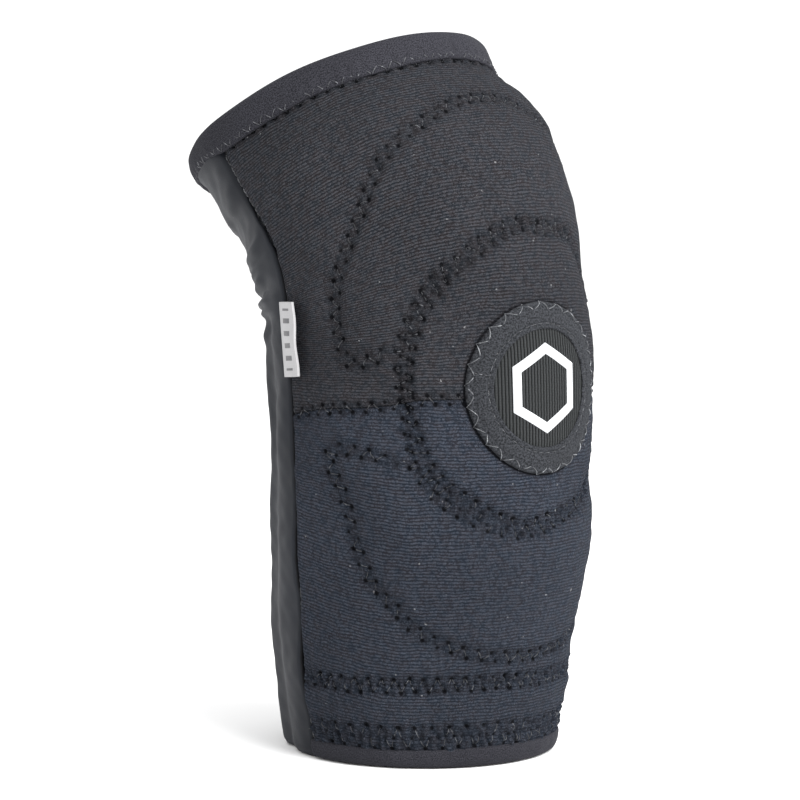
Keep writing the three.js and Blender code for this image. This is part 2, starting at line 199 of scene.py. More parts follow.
class Line:
    """A sewn line: points (s, phi), resampled evenly along the cloth."""

    def __init__(self, pts, closed=False, spacing=0.4):
        pts = np.asarray(pts, float)
        if closed:
            pts = np.vstack([pts, pts[:1]])
        fine = np.vstack([a + (b - a) * t for a, b in zip(pts[:-1], pts[1:]) for t in np.linspace(0, 1, 9)[:-1, None]] + [pts[-1:]])
        d = np.linalg.norm(np.diff(at(fine[:, 0], fine[:, 1]), axis=0), axis=1)
        arc = np.concatenate([[0], np.cumsum(d)])
        n = max(4, int(round(arc[-1] / spacing)))
        self.arc = np.linspace(0, arc[-1], n + 1)
        self.s = np.interp(self.arc, arc, fine[:, 0])
        self.p = np.interp(self.arc, arc, fine[:, 1])
        self.closed, self.length = closed, arc[-1]

    def at(self, a, across=0.0):
        """(s, phi) at arc length a, across mm to the left of the line."""
        a = np.asarray(a, float)
        if self.closed:
            a = a % self.length
        s, p = np.interp(a, self.arc, self.s), np.interp(a, self.arc, self.p)
        b = np.clip(a + 0.6, 0, self.length)
        c = np.clip(a - 0.6, 0, self.length)
        ds = np.interp(b, self.arc, self.s) - np.interp(c, self.arc, self.s)
        dp = np.interp(b, self.arc, self.p) - np.interp(c, self.arc, self.p)
        ms, mp = metric(s, p)
        ts, tp = ds * ms, dp * mp
        n = np.hypot(ts, tp) + 1e-9
        return s - tp / n * across / ms, p + ts / n * across / mp


def smooth_curve(pts, n=12):
    """Catmull-Rom through (s, phi) points."""
    p = np.asarray(pts, float)
    p = np.vstack([2 * p[0] - p[1], p, 2 * p[-1] - p[-2]])
    out = []
    for i in range(1, len(p) - 2):
        for t in np.linspace(0, 1, n, endpoint=False):
            a, b, c, d = p[i - 1 : i + 3]
            out.append(0.5 * (2 * b + (c - a) * t + (2 * a - 5 * b + 4 * c - d) * t * t + (3 * b - a - 3 * c + d) * t**3))
    return np.vstack(out + [p[-2:-1]])


ring_psi = np.linspace(0, 360, 145)[:-1]
# the row round the cap: middle radius and half width of the zigzag by angle round the pad
_q = [-180, -165, -150, -130, -110, -90, -70, -55, -40, -23, -10, 0, 15, 30, 47, 60, 68, 80, 90, 100, 110, 120, 135, 150, 165, 180]
cap_mid = monotone(_q, [39.6, 38.2, 38.6, 40.0, 41.2, 42.2, 44.4, 44.6, 43.4, 41.0, 38.8, 38.2, 38.1, 39.2, 41.0, 41.7, 41.3, 39.4, 38.0, 38.2, 39.1, 40.1, 40.5, 41.0, 40.9, 39.6])
cap_wide = monotone(_q, [2.6, 2.4, 2.6, 3.2, 3.2, 2.6, 3.0, 2.8, 2.6, 2.4, 2.3, 2.2, 2.3, 2.4, 2.7, 2.9, 3.1, 2.6, 2.1, 2.1, 2.9, 3.7, 4.0, 3.7, 3.2, 2.6])
turn = lambda q: (np.asarray(q, float) + 180) % 360 - 180
LINE_CAP = Line(np.stack(from_layout(cap_mid(turn(ring_psi)) + 0.3 * np.sin(np.radians(ring_psi * 9 + 10)), ring_psi), 1), closed=True)
_half = [(181.6, 0.0), (181.6, 6), (180.5, 15.8), (177.9, 27.1), (175.6, 37.9), (171.7, 47.4), (165.6, 55.1), (159.6, 62.0), (153.7, 68.4), (147.0, 72.3), (141.0, 72.6), (135.7, 71.2), (131.0, 69.6), (128.9, 66.4), (130.0, 62.2), (131.0, 58.1), (133.2, 53.2)]
LINE_UPPER = Line(smooth_curve(np.array([(s + 0.3 * math.sin(p), -p) for s, p in _half[:0:-1]] + _half)))
_half = [(35.0, 0.0), (35.1, 4.1), (35.9, 15.3), (36.9, 22.4), (38.8, 30.1), (41.3, 37.6), (45.3, 45.3), (51.1, 52.0), (60.8, 62.0), (71.3, 67.4), (78.5, 69.3), (85.1, 71.0), (91.5, 73.9), (97.0, 77.0), (100.9, 76.6), (102.0, 71.0), (101.4, 65.0), (100.1, 58.5), (98.4, 53.5)]
LINE_LOWER = Line(smooth_curve(np.array([(s + 0.4 * math.sin(p), -p) for s, p in _half[:0:-1]] + _half)))
BADGE_LO, BADGE_HI, BADGE_ARC, BADGE_R, DISC_R = 94.0, 142.4, 53.0, 27.0, 18.9
_mid = monotone([0, 28, 38, 45, 52, 60, 68, 76, 85, 94, 101], [118.8, 118.8, 118.6, 118.2, 116.9, 115.9, 115.3, 114.8, 113.5, 112.0, 112.0])
mid_s = lambda p: _mid(np.abs(p))
_p = np.linspace(29.5, 93.0, 26)
LINE_MID = [Line(np.stack([mid_s(_p), sgn * _p], 1)) for sgn in (1, -1)]
_p = np.linspace(-92.6, 92.6, 61)
LINE_FOREARM = Line(np.stack([27.0 + 0.35 * np.sin(np.radians(_p * 4)), _p], 1))
LINE_HEM_LOW = Line(np.stack([9.9 + 0.3 * np.sin(np.radians(_p * 5)), _p], 1))
# lower edge of the folded band at the upper opening
_hem = monotone([0, 27, 41, 56, 70, 81, 95, 108, 140, 180], [202.3, 202.0, 203.2, 204.8, 205.7, 206.9, 208.6, 212.2, 214.8, 215.0])
HEM_S = lambda p: _hem(np.abs(turn(p)))
_p = np.linspace(0, 360, 145)
LINE_HEM_TOP = Line(np.stack([HEM_S(_p) + 1.3, _p], 1))


# ------------------------------------------------------------------ relief of the outer cloth
def waves(s, p, amp, size, seed, terms=9):
    """Gentle unevenness, amp mm over about size mm."""
    r = np.random.default_rng(seed)
    out = np.zeros(np.broadcast(s, p).shape)
    x = np.radians(p) * 53.0
    for _ in range(terms):
        a = r.uniform(0, 2 * math.pi)
        k = 2 * math.pi / (size * r.uniform(0.7, 1.6))
        out = out + np.sin(k * (np.cos(a) * x + np.sin(a) * s) + r.uniform(0, 6.3))
    return out * amp / math.sqrt(terms)


def splat(S, P, line, reach):
    """Distance from each grid point to a sewn line, and the arc length there."""
    dist = np.full(S.shape, 1e3)
    arc = np.zeros(S.shape)
    rows, cols = S[:, 0], P
    for k in range(len(line.arc)):
        s0, p0 = line.s[k], line.p[k]
        ms, mp = metric(s0, p0)
        i0, i1 = np.searchsorted(rows, [s0 - reach / ms, s0 + reach / ms])
        if i0 >= i1:
            continue
        row = P[(i0 + i1) // 2]
        for lap in (-360, 0, 360):
            j0, j1 = np.searchsorted(row, [p0 + lap - reach / mp, p0 + lap + reach / mp])
            if j0 >= j1:
                continue
            d = np.hypot((S[i0:i1, j0:j1] - s0) * ms, (P[i0:i1, j0:j1] - p0 - lap) * mp)
            old = dist[i0:i1, j0:j1]
            near = d < old
            old[near] = d[near]
            arc[i0:i1, j0:j1][near] = line.arc[k]
    return dist, arc


def needles(line, across, pitch, steps, seed=1, start=0.0):
    """Needle points of a zigzag, as arrays of (arc, across)."""
    r = np.random.default_rng(seed)
    n = int(line.length / (pitch / 2))
    pts = []
    for i in range(n):
        a0, a1 = start + i * pitch / 2, start + (i + 1) * pitch / 2
        sign = 1 if i % 2 == 0 else -1
        for j in range(steps):
            t = j / steps
            w = across(a0 + (a1 - a0) * t) if callable(across) else across
            x0, x1 = sign * w, -sign * w
            pts.append((a0 + (a1 - a0) * t, x0 + (x1 - x0) * t))
    pts = np.array(pts)
    pts += r.normal(0, 0.16, pts.shape)
    return pts


_s, _p = LINE_CAP.s, LINE_CAP.p
_capq = np.unwrap(layout(_s, _p)[1], period=360)
cap_half = lambda a: cap_wide(turn(np.interp(np.asarray(a) % LINE_CAP.length, LINE_CAP.arc, _capq)))

ROWS = {
    # name: (line, half width, pitch, steps in one leg)
    "cap": (LINE_CAP, cap_half, 5.0, 3),
    "upper": (LINE_UPPER, 1.5, 5.2, 1),
    "lower": (LINE_LOWER, 1.5, 5.2, 1),
    "mid_l": (LINE_MID[0], 1.3, 4.6, 1),
    "mid_r": (LINE_MID[1], 1.3, 4.6, 1),
    "forearm": (LINE_FOREARM, 2.1, 4.6, 2),
    "hem_low": (LINE_HEM_LOW, 3.5, 5.6, 2),
    "hem_top": (LINE_HEM_TOP, 1.6, 5.1, 1),
}
NEEDLES = {k: needles(l, w, pi, st, seed=i + 3) for i, (k, (l, w, pi, st)) in enumerate(ROWS.items())}
CAP_SHIFT = 3.0


def swell_cap(s, p):
    """The cap stands out of the sleeve, a little to the -phi side."""
    rc = np.hypot(np.radians(p) * PAD_ARC + CAP_SHIFT, np.asarray(s, float) - CAP_S)
    return 1.35 * np.clip(1 - (rc / 42.0) ** 3.0, 0, 1)


def bed(s, p):
    return swell_cap(s, p) + 0.1


def tuck(s, p):
    """Inward mm where the upper opening is pinched at the -phi side."""
    return 5.2 * np.exp(-(((turn(p) + 47) / 21) ** 2)) * step((np.asarray(s, float) - 189) / 18)


def relief(S, P):
    """(outward mm, mask of painted shade in needle pits, seams and the badge gap, mask of the stitched grooves that are
    flattened and painted with shade) of the woven front on a grid.
    """
    r, psi = layout(S, P)
    u = np.abs(psi)
    rb = np.hypot(np.radians(P) * BADGE_ARC, np.interp(S, _fs, _fa) - BADGE_MID)
    D = (waves(S, P, 0.16, 17, 5) + waves(S, P, 0.12, 7, 6)) * step((rb - 25) / 5)
    # pads swell between their sewn lines
    D += swell_cap(S, P)
    for edge, last, sel in ((UPPER_EDGE, UPPER_LAST, u < 90), (LOWER_EDGE, LOWER_LAST, u >= 90)):
        v = np.where(sel, u, 180 - u) if edge is UPPER_EDGE else 180 - u
        outer = edge(np.clip(v, 0, last)) - 1
        t = np.clip((r - CAP_OUT) / (outer - CAP_OUT), 0, 1)
        swell = (np.sin(math.pi * t) ** 0.8) * np.clip((last + 4 - v) / 14, 0, 1)
        D += np.where(sel, 1.15 * swell, 0)
    # the cloth is drawn in where the cap meets the arches, and stands out beyond them
    side = step((np.abs(P) - 22) / 18) * step((84 - np.abs(P)) / 14)
    D -= 1.5 * side * np.exp(-(((S - 149 + 0.10 * (np.abs(P) - 49)) / 7.0) ** 2))
    D -= 0.5 * side * np.exp(-(((S - 88) / 6.0) ** 2))
    D += 0.9 * side * np.exp(-(((S - 190) / 7.0) ** 2)) + np.where(P < 0, 1.4, 0.0) * side * np.exp(-(((S - 180) / 7.5) ** 2))
    D += 0.8 * np.exp(-(((S - 22) / 5.0) ** 2))
    # mask of painted shade in needle pits, the gap round the badge and the seam grooves; dip marks the stitched
    # grooves, whose shade is painted too
    recess_shade = np.zeros(S.shape)
    dip = np.zeros(S.shape)
    lumps_a, lumps_b = waves(S, P, 1.0, 2.7, 41), waves(S, P, 1.0, 2.2, 42)
    depth = {"cap": 0.85, "upper": 0.7, "lower": 0.7, "mid_l": 0.35, "mid_r": 0.35, "forearm": 0.6, "hem_low": 0.65, "hem_top": 0.4}
    for k, (line, wide, pitch, steps) in ROWS.items():
        d, arc = splat(S, P, line, 10.5)
        w = wide(arc) if callable(wide) else wide
        near = d < 100
        groove = np.exp(-((np.maximum(0, d - w * 0.6) / 2.3) ** 2))
        # cloth is drawn in across each leg and bulges between them
        ruck = 0.5 + 0.5 * np.cos(2 * math.pi * arc / (pitch / 2) + 0.9 * np.sin(arc * 0.37) + 0.5 * np.sin(arc * 1.31))
        fade = np.exp(-((d / (w + 1.3)) ** 4))
        D -= np.where(near, depth[k] * groove, 0)
        D += np.where(near, (0.68 if steps > 1 else 0.45) * ruck * fade, 0)
        if steps > 2:
            knots = np.cos(2 * math.pi * arc / (pitch / 2) + 2.1) * np.cos(math.pi * d / (w * 0.75 + 0.3))
            D += np.where(near, 0.26 * knots * fade, 0)
        lumps = lumps_a if steps > 1 else lumps_b
        D += np.where(near, (0.5 if steps > 1 else 0.25) * lumps * fade, 0)
        lip = np.exp(-(((d - w - 2.2) / 1.2) ** 2))
        D += np.where(near, 0.2 * lip * (0.5 + 0.5 * np.cos(2 * math.pi * arc / pitch + (0 if steps > 1 else 1.5))), 0)
        dip = np.maximum(dip, np.where(near, groove * (0.45 + 0.55 * (1 - ruck)), 0))
    rows = S[:, 0]
    for k, pts in NEEDLES.items():
        line, half = ROWS[k][0], ROWS[k][1]
        s, p = line.at(pts[:, 0], pts[:, 1])
        ms, mp = metric(s, p)
        h = half(pts[:, 0]) if callable(half) else half
        edge_pt = np.clip(np.abs(pts[:, 1]) / h, 0, 1) ** 2
        rs = np.random.default_rng(len(pts)).uniform(0.75, 1.25, len(pts))
        for s0, p1, a, b, e, q0 in zip(s, p, ms, mp, edge_pt, rs):
            for lap in (-360, 0):
                p0 = p1 + lap
                i0, i1 = np.searchsorted(rows, [s0 - 3.4 / a, s0 + 3.4 / a])
                if i0 >= i1:
                    continue
                row = P[(i0 + i1) // 2]
                j0, j1 = np.searchsorted(row, [p0 - 3.4 / b, p0 + 3.4 / b])
                if j0 >= j1:
                    continue
                q = ((S[i0:i1, j0:j1] - s0) * a) ** 2 + ((P[i0:i1, j0:j1] - p0) * b) ** 2
                D[i0:i1, j0:j1] -= q0 * (0.45 + 0.45 * e) * (0.75 * np.exp(-q / 0.5) + 0.8 * np.exp(-q / 1.7))
                # the dark of each needle pit is painted shade
                recess_shade[i0:i1, j0:j1] = np.maximum(recess_shade[i0:i1, j0:j1], q0 * (0.55 + 0.6 * e) * np.exp(-q / 0.46))
    # a shadow gap where the cloth dives under the badge
    D -= 0.5 * np.exp(-(((rb - 27.3) / 1.0) ** 2))
    recess_shade = np.maximum(recess_shade, 0.8 * np.exp(-(((rb - 27.3) / 0.5) ** 2)))
    # the cloth turns in at the side seams, and the seam groove is painted dark as shade
    edge = seam_at(S) - np.abs(P)
    seam_w = 0.8 + 0.7 * step((S - 175) / 30)
    D -= 2.3 * np.exp(-((edge / seam_w) ** 2)) + 0.3 * np.exp(-((edge / 3.0) ** 2))
    recess_shade = np.maximum(recess_shade, 0.9 * np.exp(-((edge / (0.62 * seam_w)) ** 2)))
    D -= tuck(S, P)
    D += 0.25 * np.exp(-(((edge - 3.2) / 1.6) ** 2))
    return D, recess_shade, dip


_fs = np.arange(0, 200, 0.5)
_fa = np.concatenate([[0], np.cumsum(np.linalg.norm(np.diff(at(_fs, 0.0), axis=0), axis=1))])
BADGE_MID = (np.interp(BADGE_LO, _fs, _fa) + np.interp(BADGE_HI, _fs, _fa)) / 2


fold_table = monotone(
    [140, 167, 170, 172, 174.5, 176.5, 179, 181, 184.5, 186, 188.5, 192, 196, 200, 204, 207, 210, 212, 214, 217, 221],
    [0, 0, -0.1, 0.7, 1.42, 1.39, 0.32, -0.17, -0.71, -0.9, -1.0, -0.9, 0.4, 0.21, -0.6, -0.9, -0.9, -0.7, 0.1, 0.0, 0.0],
)


def back_relief(S, P):
    """Outward mm of the stretch panel: folds at the crook and a lengthwise crease."""
    D = waves(S, P, 0.3, 26, 11) + waves(S, P, 0.1, 9, 12)
    q = np.abs(((P + 180) % 360) - 180)
    inn = q - seam_at(S)
    free = step(inn / 22)
    # ridges run across the crook and die out at the seams
    for s0, h, w, tilt, c, far in (
        (168.0, 2.0, 3.6, 0.05, 142, 46),
        (159.5, 2.3, 2.8, -0.05, 150, 52),
        (152.0, 2.4, 2.7, 0.03, 146, 50),
        (145.5, 1.8, 2.4, -0.04, 139, 36),
        (137.0, 0.9, 3.4, 0.06, 150, 40),
    ):
        for side in (1, -1):
            pp = np.where(P > 180, 360 - P, P)
            m = (P <= 180) if side == 1 else (P > 180)
            line = s0 + tilt * (pp - c) + (1.2 if side == 1 else -1.0) * np.sin(np.radians((pp - c) * 3.1 + s0))
            g = np.exp(-(((S - line) / w) ** 2)) * np.exp(-(((pp - c) / far) ** 4))
            D += np.where(m, h * g * free, 0)
    D -= 0.9 * free * np.exp(-(((S - 163.5) / 24) ** 2))
    pp = np.where(P > 180, 360 - P, P)
    shift = np.where(P > 180, 2.3, 0.0) + 0.05 * (pp - 121) + 0.9 * np.sin(np.radians((pp - 121) * 5.0))
    D += step(inn / 15) * fold_table(np.clip(S - shift, 141, 220)) * (1 + 0.35 * step((pp - 130) / 40))
    # lengthwise crease where the sleeve has been pressed flat
    low = step((150 - S) / 12)
    pp = np.where(P > 180, 360 - P, P)
    bend = 2.0 * np.sin(S / 23.0) + 1.1 * np.sin(S / 9.0 + 1)
    D += low * 1.1 * np.exp(-(((pp - 126 - bend) / 4.0) ** 2))
    D -= low * 0.8 * np.exp(-(((pp - 116 - 0.6 * bend) / 4.5) ** 2))
    D -= step((38 - S) / 30) * 1.2 * np.exp(-(((pp - 132) / 26) ** 2))
    # it turns in at the seams
    seam_w = 0.9 + 0.7 * step((S - 175) / 30)
    D -= 1.6 * np.exp(-((inn / seam_w) ** 2)) + (0.4 + 0.7 * step((S - 180) / 20)) * np.exp(-((inn / 5.0) ** 2))
    # soft edge at the foot
    D -= 0.9 * np.exp(-((S / 1.2) ** 2))
    return D


# ------------------------------------------------------------------ mesh helpers
def mesh(name, co, quads, uv=None, attrs=None, tris=None):
    """Mesh object from points in mm; uv in centimetres of cloth."""
    co = np.asarray(co, float).reshape(-1, 3)
    me = bpy.data.meshes.new(name)
    quads = np.asarray(quads, np.int64).reshape(-1, 4)
    tris = np.zeros((0, 3), np.int64) if tris is None else np.asarray(tris, np.int64).reshape(-1, 3)
    loops = np.concatenate([quads.ravel(), tris.ravel()])
    starts = np.concatenate([np.arange(len(quads)) * 4, len(quads) * 4 + np.arange(len(tris)) * 3])
    me.vertices.add(len(co))
    me.vertices.foreach_set("co", (co / 1000).astype(np.float32).ravel())
    me.loops.add(len(loops))
    me.loops.foreach_set("vertex_index", loops.astype(np.int32))
    me.polygons.add(len(starts))
    me.polygons.foreach_set("loop_start", starts.astype(np.int32))
    me.update(calc_edges=True)
    me.validate()
    me.polygons.foreach_set("use_smooth", np.ones(len(me.polygons), bool))
    if uv is not None:
        layer = me.uv_layers.new(name="weave")
        index = np.zeros(len(me.loops), np.int32)
        me.loops.foreach_get("vertex_index", index)
        layer.data.foreach_set("uv", np.asarray(uv, np.float32).reshape(-1, 2)[index].ravel())
    for key, value in (attrs or {}).items():
        a = me.attributes.new(key, "FLOAT", "POINT")
        a.data.foreach_set("value", np.asarray(value, np.float32).ravel())
    ob = bpy.data.objects.new(name, me)
    bpy.context.scene.collection.objects.link(ob)
    return ob


def grid_quads(m, n, base=0, flip=False, wrap=False):
    i = np.arange(m - 1)[:, None]
    j = np.arange(n if wrap else n - 1)[None, :]
    a = base + i * n + j
    b = base + i * n + (j + 1) % n
    c = base + (i + 1) * n + (j + 1) % n
    d = base + (i + 1) * n + j
    q = np.stack(np.broadcast_arrays(a, b, c, d), -1).reshape(-1, 4)
    return q[:, ::-1] if flip else q


def shell(name, outer, inner, uv, attrs=None):
    """Closed sheet from an outer and an inner grid of points."""
    m, n = outer.shape[:2]
    k = m * n
    q = [grid_quads(m, n), grid_quads(m, n, k, flip=True)]

    def rim(a, b):
        return np.stack([a[:-1], a[1:], b[1:], b[:-1]], 1)

    top, bot = np.arange(n) + (m - 1) * n, np.arange(n)
    lef, rig = np.arange(m) * n, np.arange(m) * n + n - 1
    q += [rim(bot + k, bot), rim(top, top + k), rim(lef, lef + k), rim(rig + k, rig)]
    uv2 = np.concatenate([uv.reshape(-1, 2)] * 2)
    at2 = {a: np.concatenate([np.asarray(v).ravel()] * 2) for a, v in (attrs or {}).items()}
    ob = mesh(name, np.concatenate([outer.reshape(-1, 3), inner.reshape(-1, 3)]), np.concatenate(q), uv2, at2)
    return outward(ob)


def shell2(name, outer, inner, uv, attrs=None):
    """Closed sheet whose inner face has half the outer face's grid in each direction."""
    m, n = outer.shape[:2]
    m2, n2 = inner.shape[:2]
    k = m * n
    quads = [grid_quads(m, n), grid_quads(m2, n2, k, flip=True)]
    tris = []

    def rim(a, b, flip):
        t = np.concatenate([np.stack([a[:-2:2], b[:-1], a[1:-1:2]], 1), np.stack([a[1:-1:2], b[:-1], b[1:]], 1), np.stack([a[1:-1:2], b[1:], a[2::2]], 1)])
        tris.append(t[:, ::-1] if flip else t)

    rim(np.arange(n), k + np.arange(n2), False)
    rim((m - 1) * n + np.arange(n), k + (m2 - 1) * n2 + np.arange(n2), True)
    rim(np.arange(m) * n, k + np.arange(m2) * n2, True)
    rim(np.arange(m) * n + n - 1, k + np.arange(m2) * n2 + n2 - 1, False)
    uv2 = np.concatenate([uv.reshape(-1, 2), uv[::2, ::2].reshape(-1, 2)])
    at2 = {a: np.concatenate([np.asarray(v).ravel(), np.zeros(m2 * n2)]) for a, v in (attrs or {}).items()}
    ob = mesh(name, np.concatenate([outer.reshape(-1, 3), inner.reshape(-1, 3)]), np.concatenate(quads), uv2, at2, tris=np.concatenate(tris))
    return outward(ob)


def outward(ob):
    """Turns the faces so that they point out of the solid."""
    me = ob.data
    n = len(me.vertices)
    co = np.zeros(n * 3, np.float32)
    me.vertices.foreach_get("co", co)
    co = co.reshape(-1, 3).astype(float)
    me.calc_loop_triangles()
    t = np.zeros(len(me.loop_triangles) * 3, np.int32)
    me.loop_triangles.foreach_get("vertices", t)
    a, b, c = co[t.reshape(-1, 3)].transpose(1, 0, 2)
    if float((a * np.cross(b, c)).sum()) < 0:
        me.flip_normals()
    return ob


def loop_band(name, profile, n, relief_fn=None, attrs=None):
    """Closed ring: profile is a closed list of (s, off), swept once round the limb."""
    prof = np.asarray(profile, float)
    phi = np.linspace(0, 360, n, endpoint=False)
    S = np.repeat(prof[:, 0][:, None], n, 1)
    O = np.repeat(prof[:, 1][:, None], n, 1)
    P = np.repeat(phi[None], len(prof), 0)
    if relief_fn is not None:
        S, O = relief_fn(S, O, P)
    co = at(S, P, O)
    m = len(prof)
    q = grid_quads(m, n, wrap=True)
    last = np.stack([(m - 1) * n + np.arange(n), (m - 1) * n + (np.arange(n) + 1) % n, (np.arange(n) + 1) % n, np.arange(n)], 1)
    run = np.concatenate([[0], np.cumsum(np.linalg.norm(np.diff(co, axis=0), axis=2).mean(1))])
    uv = np.stack([np.radians(P) * 5.2, np.repeat(run[:, None] / 10, n, 1)], -1)
    ob = mesh(name, co, np.concatenate([q, last]), uv, {k: f(S, P) for k, f in (attrs or {}).items()})
    return outward(ob)


def strip_band(name, profile, phis, relief_fn=None):
    """Closed solid: a closed (s, off) profile swept between two angles, with end caps."""
    prof = np.asarray(profile, float)
    m, n = len(prof), len(phis)
    S = np.repeat(prof[:, 0][:, None], n, 1)
    O = np.repeat(prof[:, 1][:, None], n, 1)
    P = np.repeat(np.asarray(phis)[None], m, 0)
    if relief_fn is not None:
        S, O = relief_fn(S, O, P)
    co = at(S, P, O)
    q = grid_quads(m, n)
    j = np.arange(n - 1)
    last = np.stack([(m - 1) * n + j, (m - 1) * n + j + 1, j + 1, j], 1)
    c0, c1 = m * n, m * n + 1
    i = np.arange(m)
    k = (i + 1) % m
    caps = np.concatenate([np.stack([i * n, k * n, np.full(m, c0)], 1), np.stack([k * n + n - 1, i * n + n - 1, np.full(m, c1)], 1)])
    run = np.concatenate([[0], np.cumsum(np.hypot(np.diff(prof[:, 0]), np.diff(prof[:, 1])))])
    uv = np.stack([np.radians(P) * 5.2, np.repeat(run[:, None] / 10, n, 1)], -1).reshape(-1, 2)
    flat = co.reshape(-1, 3)
    ends = np.stack([co[:, 0].mean(0), co[:, -1].mean(0)])
    ob = mesh(name, np.vstack([flat, ends]), np.concatenate([q, last]), np.vstack([uv, uv[:1], uv[-1:]]), tris=caps)
    return outward(ob)


def thread(name, runs, radius=0.21, sides=6):
    """Tubes along point lists in mm, with rounded ends, as one piece."""
    co, quads, tris, uv = [], [], [], []
    base = 0
    ang = np.linspace(0, 2 * math.pi, sides, endpoint=False)
    for pts in runs:
        pts = np.asarray(pts, float)
        n = len(pts)
        t = np.gradient(pts, axis=0)
        t /= np.linalg.norm(t, axis=1)[:, None] + 1e-12
        ref = np.array([0, 0, 1.0]) if abs(t[:, 2]).mean() < 0.8 else np.array([1.0, 0, 0])
        u = np.cross(t, ref)
        u /= np.linalg.norm(u, axis=1)[:, None]
        v = np.cross(t, u)
        rr = np.full(n, radius)
        rr[0] = rr[-1] = radius * 0.6
        ring = pts[:, None] + rr[:, None, None] * (np.cos(ang)[None, :, None] * u[:, None] + np.sin(ang)[None, :, None] * v[:, None])
        co.append(ring.reshape(-1, 3))
        arc = np.concatenate([[0], np.cumsum(np.linalg.norm(np.diff(pts, axis=0), axis=1))])
        uv.append(np.stack([np.repeat(arc[:, None] / 10, sides, 1), np.repeat((ang / 6.283 * 0.13)[None], n, 0)], -1).reshape(-1, 2))
        quads.append(grid_quads(n, sides, base, wrap=True))
        co.append(np.stack([pts[0] - t[0] * radius * 0.5, pts[-1] + t[-1] * radius * 0.5]))
        uv.append(np.array([[0, 0], [arc[-1] / 10, 0]]))
        k = np.arange(sides)
        a, b = base + n * sides, base + n * sides + 1
        tris.append(np.stack([base + (k + 1) % sides, base + k, np.full(sides, a)], 1))
        e = base + (n - 1) * sides
        tris.append(np.stack([e + k, e + (k + 1) % sides, np.full(sides, b)], 1))
        base += n * sides + 2
    ob = mesh(name, np.vstack(co), np.concatenate(quads), np.vstack(uv), tris=np.concatenate(tris))
    return outward(ob)


# ------------------------------------------------------------------ master grid of the front
GS = np.arange(-2, 222.01, 0.5)
GP = np.arange(-101, 101.01, 0.5)
_S, _P = np.meshgrid(GS, GP, indexing="ij")
_D, _RECESS_SHADE, _DIP = relief(_S, _P)
_D -= 0.4 * np.exp(-(((_S - mid_s(_P)) / 0.55) ** 2))
_D -= 0.75 * step((_S - (HEM_S(_P) - 0.6)) / 1.4) + 0.6 * step((6.3 - _S) / 1.4)
_ms = metric(_S, _P)[0]
_V = np.concatenate([np.zeros((1, len(GP))), np.cumsum((_ms[1:] + _ms[:-1]) / 2 * 0.5, axis=0)])
_i = int(np.argmin(np.abs(GS - 117.5)))
_V -= _V[_i][None]
_x = np.abs(GP)
_tilt = np.interp(_x, [0, 12, 35, 60, 101], [0, 0.03, 0.27, 0.52, 0.55])
_up = np.concatenate([[0], np.cumsum(_tilt[GP >= 0][1:] * 0.5 * math.radians(1) * 52)])
_tilt = np.interp(_x, [0, 45, 62, 101], [0, 0.0, 0.15, 0.2])
_dn = np.concatenate([[0], np.cumsum(_tilt[GP >= 0][1:] * 0.5 * math.radians(1) * 52)])
_half_p = GP[GP >= 0]
_V = _V + step((GS - 118) / 45)[:, None] * np.interp(_x, _half_p, _up)[None] - step((118 - GS) / 35)[:, None] * np.interp(_x, _half_p, _dn)[None]


def sample(A, s, p):
    """Bilinear value of a master grid."""
    x = np.clip((np.asarray(s, float) - GS[0]) / 0.5, 0, len(GS) - 1.001)
    y = np.clip((np.asarray(p, float) - GP[0]) / 0.5, 0, len(GP) - 1.001)
    i, j = x.astype(int), y.astype(int)
    u, v = x - i, y - j
    return A[i, j] * (1 - u) * (1 - v) + A[i + 1, j] * u * (1 - v) + A[i, j + 1] * (1 - u) * v + A[i + 1, j + 1] * u * v


def skin(s, p):
    """Outward relief at a point anywhere round the limb."""
    q = ((np.asarray(p, float) + 180) % 360) - 180
    front = np.abs(q) <= seam_at(s)
    return np.where(front, sample(_D, s, np.clip(q, -101, 101)), back_relief(np.asarray(s, float), np.asarray(p, float) % 360))


